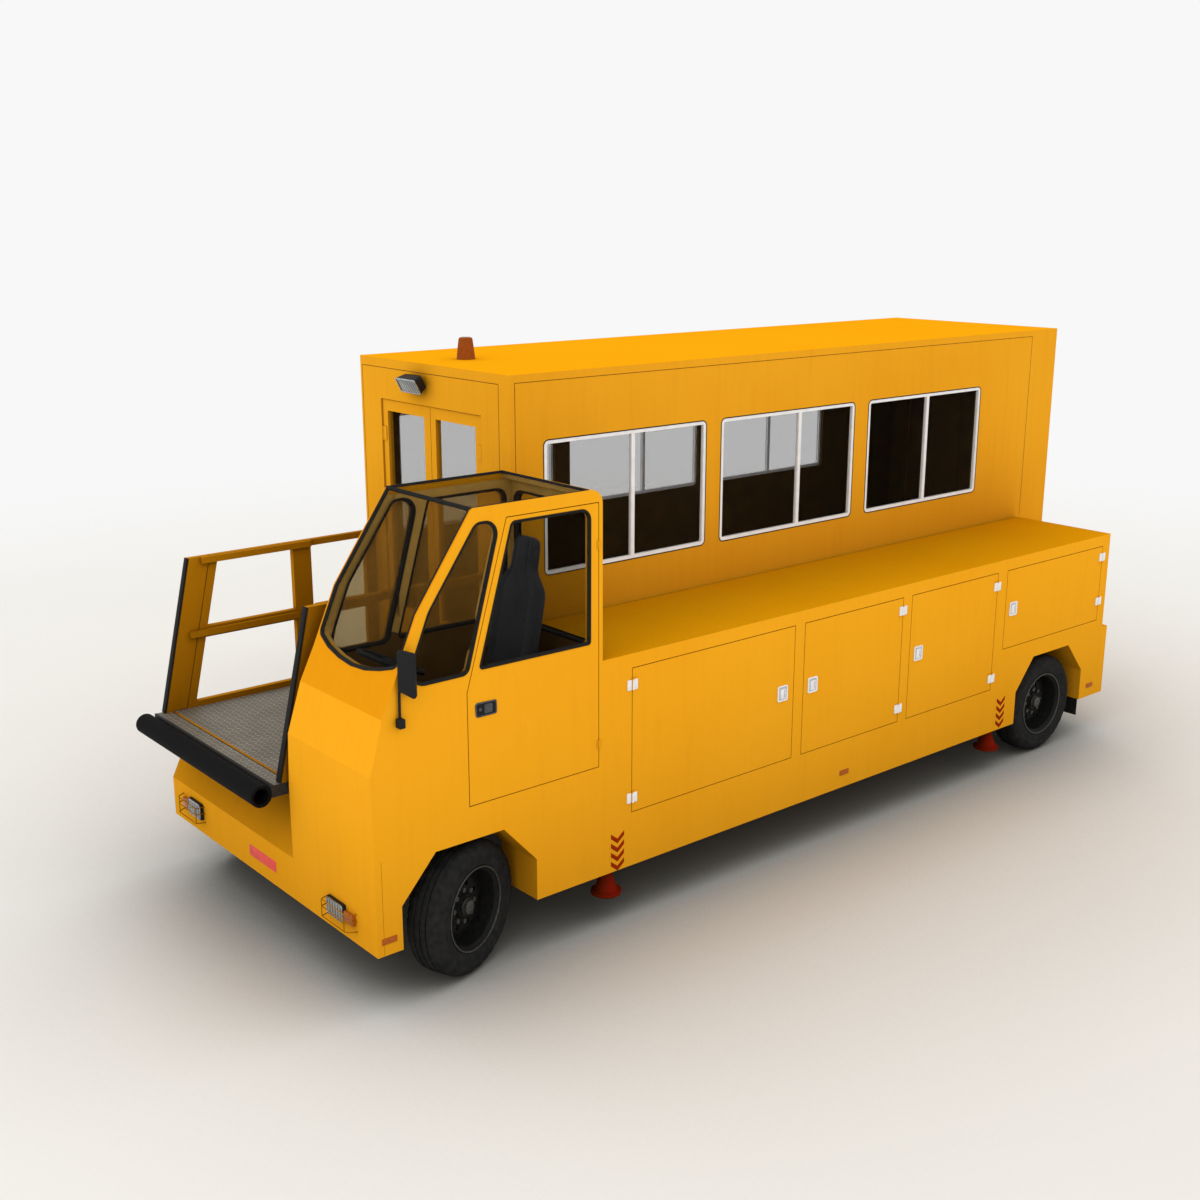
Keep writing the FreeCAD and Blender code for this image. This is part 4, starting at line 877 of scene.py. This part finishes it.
# the lip on the inner faces; heights are measured from there
TRIM = [(-12, 0.2), (-12, 4), (0.3, 4), (8, -17), (8, -19.9), (0.3, -19.9), (0.3, 0.2)]
SEALS = (("door_window_seal", DOOR_WINDOW, on_side, SKIN_SEAL),
         ("quarter_window_seal_left", QUARTER_WINDOW, on_side, SKIN_SEAL),
         ("quarter_window_seal_right", QUARTER_WINDOW, on_right_wall, WALL_SEAL),
         ("right_window_seal", DOOR_WINDOW, on_right_wall, WALL_SEAL),
         ("quarter_window_trim_right", QUARTER_WINDOW, on_right_inside, TRIM),
         ("right_window_trim", DOOR_WINDOW, on_right_inside, TRIM),
         ("rear_window_trim", REAR_WINDOW, lambda u, v, h: (CAB_REAR_X + CAB_WALL + h, u, v), TRIM),
         ("windscreen_seal", with_bend(SCREEN, BEND_Z), on_screen, SKIN_SEAL),
         ("rear_window_seal", REAR_WINDOW, on_cab_rear, seal(9, 3.0, 12)),
         ("roof_pane_seal", ROOF_PANE, on_cab_roof, seal(4, 3.0, 6)))
for name, outline, place, profile in SEALS:
    body = "cab_door" if name == "door_window_seal" else "chassis"
    piece(name, body, "black_rubber", (hoop(outline, profile, place), SEAL_RUBBER), smooth=50)
HEADER = [(2778, 2599), (2781, 2601), (2776, 2608), (2766, 2608), (2766, 2604.5), (2774.5, 2604.5)]
piece("cab_header_seal", "chassis", "black_rubber",
      (plate(HEADER, 404, 1206, lambda u, v, h: (u, h, v), 0.5), SEAL_RUBBER))
BEAD = [(-6, -0.5), (-6, 1.0), (-4, 2.0), (-1, 2.0), (1, 1.0), (1, -0.5)]
for number, (x0, x1) in enumerate(((306, 1643), (-1165, 166), (-2650, -1319)), 1):
    edge = oblong(x1 - x0, 822, 34, ((x0 + x1) / 2, 2324), 6)
    bead = hoop(edge, BEAD, lambda u, v, h: (u, CABIN_SIDE_Y + h, v))
    piece("cabin_window_bead_%d" % number, "cabin", "black_rubber", (bead, SEAL_RUBBER))

# %% [markdown]
# ## Hinges, latches and the cab door handle
# The lockers hang on white cast hinges screwed over the seam, one leaf on the body and
# one on the door. They close with white flush latches: a rounded tray with a raised rim,
# a sunk floor and a paddle with a finger slot.

# %% Locker hinges and latches
LOCKER_HINGES = ((1, 1692, -1, (1446, 756)), (2, -724, 1, (1456, 761)), (3, -1790, 1, (1447, 753)),
                 (4, -3150, 1, (1460, 1107)))


def hinge_leaf(x, z):
    return (plate(oblong(32, 62, 4, (x, z)), -0.5, 4.5, on_side, 1.2), WHITE_POWDER)


for number, edge_x, into_door, heights in LOCKER_HINGES:
    moving, fixed = [], []
    for z in heights:
        knuckle = rod([(edge_x, SIDE_Y + 6, z - 30), (edge_x, SIDE_Y + 6, z + 30)], 7.0, 14)
        moving += [hinge_leaf(edge_x + into_door * 21, z), (knuckle, WHITE_POWDER)]
        fixed.append(hinge_leaf(edge_x - into_door * 24, z))
    piece("locker_hinge_leaves_%d" % number, "locker_door_%d" % number, "white_frame_paint", *moving)
    piece("locker_hinge_seats_%d" % number, "chassis", "white_frame_paint", *fixed)

LATCH_RIM = [(0, -0.5), (0, 4), (1.5, 6), (8, 6), (10, 2), (10, -0.5)]
for number, x, z in ((1, 438, 1121), (2, 159, 1121), (3, -914, 1121), (4, -2005, 1246)):
    rim = hoop(oblong(90, 104, 12, (x, z)), LATCH_RIM, on_side)
    tray = plate(oblong(72, 86, 7, (x, z)), -0.5, 1.2, on_side, 0.4)
    paddle = plate(oblong(44, 64, 8, (x - 4, z - 4)), 0.5, 4.2, on_side, 1.8)
    slot_mark = plate(oblong(9, 46, 4, (x - 14, z - 2)), 3.5, 4.8, on_side, 0.4)
    piece("locker_latch_%d" % number, "locker_door_%d" % number, "white_frame_paint", (rim, WHITE_POWDER),
          (tray, LATCH_SHADE), (paddle, WHITE_POWDER), (slot_mark, LATCH_SHADE))

# %% Cab door handle
HANDLE = rounded([(2647, 1494), (2778, 1494), (2783, 1572), (2648, 1567)], [10, 14, 16, 8])
tray = plate(HANDLE, -0.5, 2.0, on_side, 0.8)
bezel = hoop(HANDLE, [(-2, -0.5), (-2, 3), (0, 4.5), (5, 4.5), (7, 1.5), (7, -0.5)], on_side)
lever = plate(oblong(52, 50, 6, (2700, 1532)), 1.0, 7.0, on_side, 2.5)
grip = plate(oblong(12, 58, 4, (2668, 1532)), 1.0, 8.0, on_side, 2.0)
key_barrel = plate(oblong(20, 20, 9.9, (2752, 1533), 8), 1.0, 5.0, on_side, 1.5)
piece("cab_door_handle", "cab_door", "black_plastic", (tray, BLACK_PLASTIC), (bezel, HANDLE_GREY),
      (lever, HANDLE_GREY), (grip, BLACK_PLASTIC), (key_barrel, HUB_STEEL))

# %% [markdown]
# ## Marks on the body
# Four red arrows above each jack show where it comes down, blank amber markers sit low
# on the side, and a blank red plate is fixed to the bumper. Thin lines of sealer run
# where the cabin's cladding sheets meet its corner posts.

# %% Arrows, markers, plate and sealer lines
ARROW = [(-51, 8), (0, -32), (51, 8), (51, 37), (0, -2), (-51, 37)]
ARROW_PITCH, ARROW_WIDTH = 57, 0.98
for end, x, top in (("front", 1802, 531), ("rear", -1938, 542)):
    marks = []
    for k in range(4):
        shape = [(x + u * ARROW_WIDTH, top - ARROW_PITCH * k + v) for u, v in ARROW]
        marks.append((plate(shape, -0.4, 0.9, on_side, 0.2), RED_ENAMEL))
    piece("jack_arrows_" + end, "chassis", "red_paint", *marks)

markers = [(plate(oblong(90, 36, 3, spot), -0.4, 3.0, on_side, 1.0), AMBER_DARK)
           for spot in ((3352, 410), (-191, 433), (-3132, 419))]
piece("side_markers", "chassis", "amber_lens", *markers)
name_plate = plate(oblong(322, 69, 4, (-37, 445.5)), -0.4, 2.0, on_front, 0.6)
piece("blank_front_plate", "chassis", "red_paint", (name_plate, PLATE_RED))


def sealer_lines(u0, u1, v0, v1):
    """Corners of three thin strips on a face: up one end, along the top and up the other."""
    half = 2.0
    return (((u1 - half, v0), (u1 + half, v1)), ((u0, v1 - half), (u1, v1 + half)),
            ((u0 - half, v0), (u0 + half, v1)))


sealer = [(block((x0, CABIN_SIDE_Y - 0.5, z0), (x1, CABIN_SIDE_Y + 0.6, z1), 0.0), SEALER)
          for (x0, z0), (x1, z1) in sealer_lines(-3295, 1853, 1640, 3089)]
sealer += [(block((CABIN_FRONT_X, y0, z0), (CABIN_FRONT_X + 1.2, y1, z1), 0.0), SEALER)
           for (y0, z0), (y1, z1) in sealer_lines(-1277, 241, 1020, 3077)]
piece("cladding_sealer_lines", "cabin", "yellow_paint", *sealer)

# %% [markdown]
# ## Head lamps and their guards
# Each lamp is a black housing with a fluted glass and an amber indicator beside it,
# behind a guard of three orange-yellow bars and two uprights in 6 mm wire. A bar is a
# rod swept along a path with rounded corners; both sides come from one drawing.

# %% Lamps, indicators and wire guards
GUARD_X = 3478
LAMP_RIM = [(0, 20), (0, 25), (1.5, 27), (4.5, 27), (6.5, 24), (6.5, 20)]
lamp_parts, guard = [], []
for side, inner_y, outer_y, raised in ((1, 735, 905, 0), (-1, 807, 977, 12)):
    y0, y1 = sorted((side * inner_y, side * outer_y))
    z0, z1 = 412 + raised, 515 + raised
    glass = oblong(y1 - y0 - 16, z1 - z0 - 16, 10, ((y0 + y1) / 2, (z0 + z1) / 2))
    signal = oblong(95, 62, 8, (side * (outer_y + 48.5), 458 + raised))
    lamp_parts += [(block((BUMPER_X - 1, y0, z0), (BUMPER_X + 21, y1, z1), 5.0, 3), BLACK_PLASTIC),
                   (hoop(inset(glass, -5), LAMP_RIM, on_front), CHROME),
                   (plate(glass, 19, 25, on_front, 3.0), CLEAR_LENS),
                   (plate(signal, -0.5, 20, on_front, 5.0), AMBER_LENS)]
    near, far = side * (inner_y - 16), side * (outer_y + 112)
    bars = [height + raised for height in (402, 460, 502)]
    # the guards take the rails' darker enamel, which carries painted shade
    for z in bars:
        path = [(BUMPER_X - 1, near, z), (GUARD_X, near + side * 14, z), (GUARD_X, far - side * 34, z),
                (BUMPER_X - 1, far, z)]
        guard.append((rod(bent(path, 16), 3.0), SHADED_RAIL_ENAMEL))
    for y in (near + side * 16, far - side * 50):
        guard.append((rod([(GUARD_X, y, bars[0]), (GUARD_X, y, bars[-1])], 2.6), SHADED_RAIL_ENAMEL))
lamps = piece("head_lamp_sets", "chassis", "amber_lens", *lamp_parts)
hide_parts("head_lamps")
piece("head_lamp_guards", "chassis", "yellow_paint", *guard)

# %% [markdown]
# ## Beacon, work lamp and mirror
# The beacon is a tapered amber dome with upright ribs, turned with a rippled radius. The
# work lamp is a black tapered case with a bright glass, tipped down at the platform. The
# mirror is a moulded black head on a thin stalk.

# %% Beacon
RIBS = 30
DOME = [(0, 139.6), (30, 139), (38, 136.5), (42.5, 131), (44.5, 122), (50, 80), (55.5, 34), (58, 13), (0, 12)]
dome = turned(DOME, RIBS * 4, lambda step, r: (0.9 if step % 4 in (0, 1) else -0.9) if r > 41 else 0.0)
foot = turned([(0, 0.2), (59.5, 0.2), (60, 3), (60, 10), (58.5, 13), (0, 13)], 60)
at_beacon = shift(1520, -620, 3137)
beacon = piece("beacon_dome", "cabin", "amber_lens", (dome, AMBER_DOME, at_beacon),
               (foot, AMBER_DOME, at_beacon), smooth=30)
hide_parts("beacon")

# %% Work lamp
case = bmesh.new()
sections = ((-40, 62, 34), (-22, 92, 44), (28, 108, 50), (40, 112, 52))
capped(case, [[case.verts.new((x, u, v)) for u, v in oblong(2 * w, 2 * h, 12)] for x, w, h in sections])
tipped = shift(1944, -595, 3018) @ spin(28, "Y")
rim = hoop(oblong(224, 104, 12), [(0, 38), (0, 42), (2, 43.5), (8, 43.5), (10, 40), (10, 38)], across_x)
glass = plate(oblong(206, 86, 8), 36, 41, across_x, 2.0)
strut = block((CABIN_FRONT_X, -612, 2998), (1930, -578, 3036), 2.0)
work = piece("work_lamp_set", "cabin", "black_plastic", (case, BLACK_PLASTIC, tipped),
             (rim, CHROME, tipped), (glass, CLEAR_LENS, tipped), (strut, CHASSIS_BLACK))
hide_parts("work_lamp")

# %% Mirror
turned_head = shift(3250, 1223, 0) @ spin(45, "Z")
head = rounded([(0, 1748), (92, 1700), (92, 1940), (0, 1960)], [14, 14, 20, 14], 6)
glass = rounded([(8, 1754), (84, 1715), (84, 1932), (8, 1950)], [8] * 4, 4)
stalk = rod(bent([(3249, 1226, 1588), (3249, 1226, 1660), (3249, 1229, 1745)], 14), 7.0)
foot = block((3232, 1211.5, 1553), (3268, 1254, 1602), 5.0, 3)
mirror = piece("driver_mirror", "chassis", "black_plastic",
               (plate(head, -12, 15, across_x, 7.0), BLACK_PLASTIC, turned_head),
               (plate(glass, -15, -11.5, across_x, 0.5), CHROME, turned_head),
               (stalk, BLACK_PLASTIC), (foot, BLACK_PLASTIC))
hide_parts("mirror")

# %% [markdown]
# ## Driver's seat
# A sprung driver's seat: foam under woven cloth, with raised side bolsters, a sunk middle
# panel between two sewn seams, cross channels and a head rest in one piece with the back.
# The pad is lofted from many sections, as where it bulges and where thread pulls it in are
# easy to write as functions of the place on it, and then subdivided once.

# %% Padded loft
PAD_SECTIONS, PAD_POINTS = 64, 72


def ease(t):
    t = min(max(t, 0.0), 1.0)
    return t * t * (3 - 2 * t)


def pull(distance, width):
    """How far thread pulls cloth in, 1 on the seam and 0 beyond width."""
    return math.exp(-(distance / width) ** 2)


def pad(name, length, half_width, low, high, seams, place, matrix, end=48):
    """Closed crowned pad; half_width(s) and high(s) shape it along s, seams are cross channels."""
    bm = bmesh.new()
    loops = []
    for k in range(PAD_SECTIONS + 1):
        s = length * (0.5 - 0.5 * math.cos(math.pi * k / PAD_SECTIONS))
        to_end = min(s, length - s)
        full = math.sqrt(max(1 - max(1 - to_end / end, 0) ** 2, 0.0))
        width = half_width(s) - (1 - full) * end * 0.8
        middle, half = (low + high(s)) / 2, (high(s) - low) / 2 * (0.25 + 0.75 * full)
        loop = []
        for i in range(PAD_POINTS):
            a = 2 * math.pi * i / PAD_POINTS
            # a squared-off ellipse
            u = width * math.copysign(abs(math.cos(a)) ** 0.5, math.cos(a))
            t = half * math.copysign(abs(math.sin(a)) ** 0.55, math.sin(a))
            across = abs(u) / width
            if t > 0:
                # on top: 9 mm bolsters, 7 mm side seams, 6 mm cross channels, 4 mm crown between
                t += full * (9 * ease((across - 0.6) / 0.3) * (1 - ease((across - 0.92) / 0.08)) - 5)
                t -= full * 7 * pull(across - 0.6, 0.035)
                for seam in seams:
                    t -= full * 6 * pull(s - seam, 7) * (1 - ease((across - 0.5) / 0.12))
                t += full * 4 * math.cos(math.pi * min(across / 0.6, 1.0) / 2)
            loop.append(bm.verts.new(place(s, u, middle + t)))
        loops.append(loop)
    made = piece(name, "chassis", "seat_fabric", (capped(bm, loops), SEAT_CLOTH, matrix), smooth=70)
    made.modifiers.new("soften", "SUBSURF").levels = 1
    ready = made.evaluated_get(bpy.context.evaluated_depsgraph_get())
    softened = bpy.data.meshes.new_from_object(ready)
    made.modifiers.clear()
    made.data = softened
    return made


def back_half_width(s):
    """Straight up to the shoulders, then in to the head rest."""
    return 201 - 108 * ease((s - 600) / 150) - 8 * ease((s - 780) / 120)


SEAT_Y = 770
back = pad("seat_back", 912, back_half_width, 3, lambda s: 88 - 6 * ease((s - 620) / 120),
           (210, 380, 550, 705), lambda s, u, t: (t, u, s + 1), shift(2215, SEAT_Y, 1385) @ spin(-11, "Y"))
cushion = pad("seat_cushion", 486, lambda s: 228 - 8 * ease((s - 300) / 180), 1238, lambda s: 1366,
              (150, 285), lambda s, u, t: (2192 + s, u, t), shift(0, SEAT_Y, 0), end=60)
for soft in (back, cushion):
    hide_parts("seat_cushions")
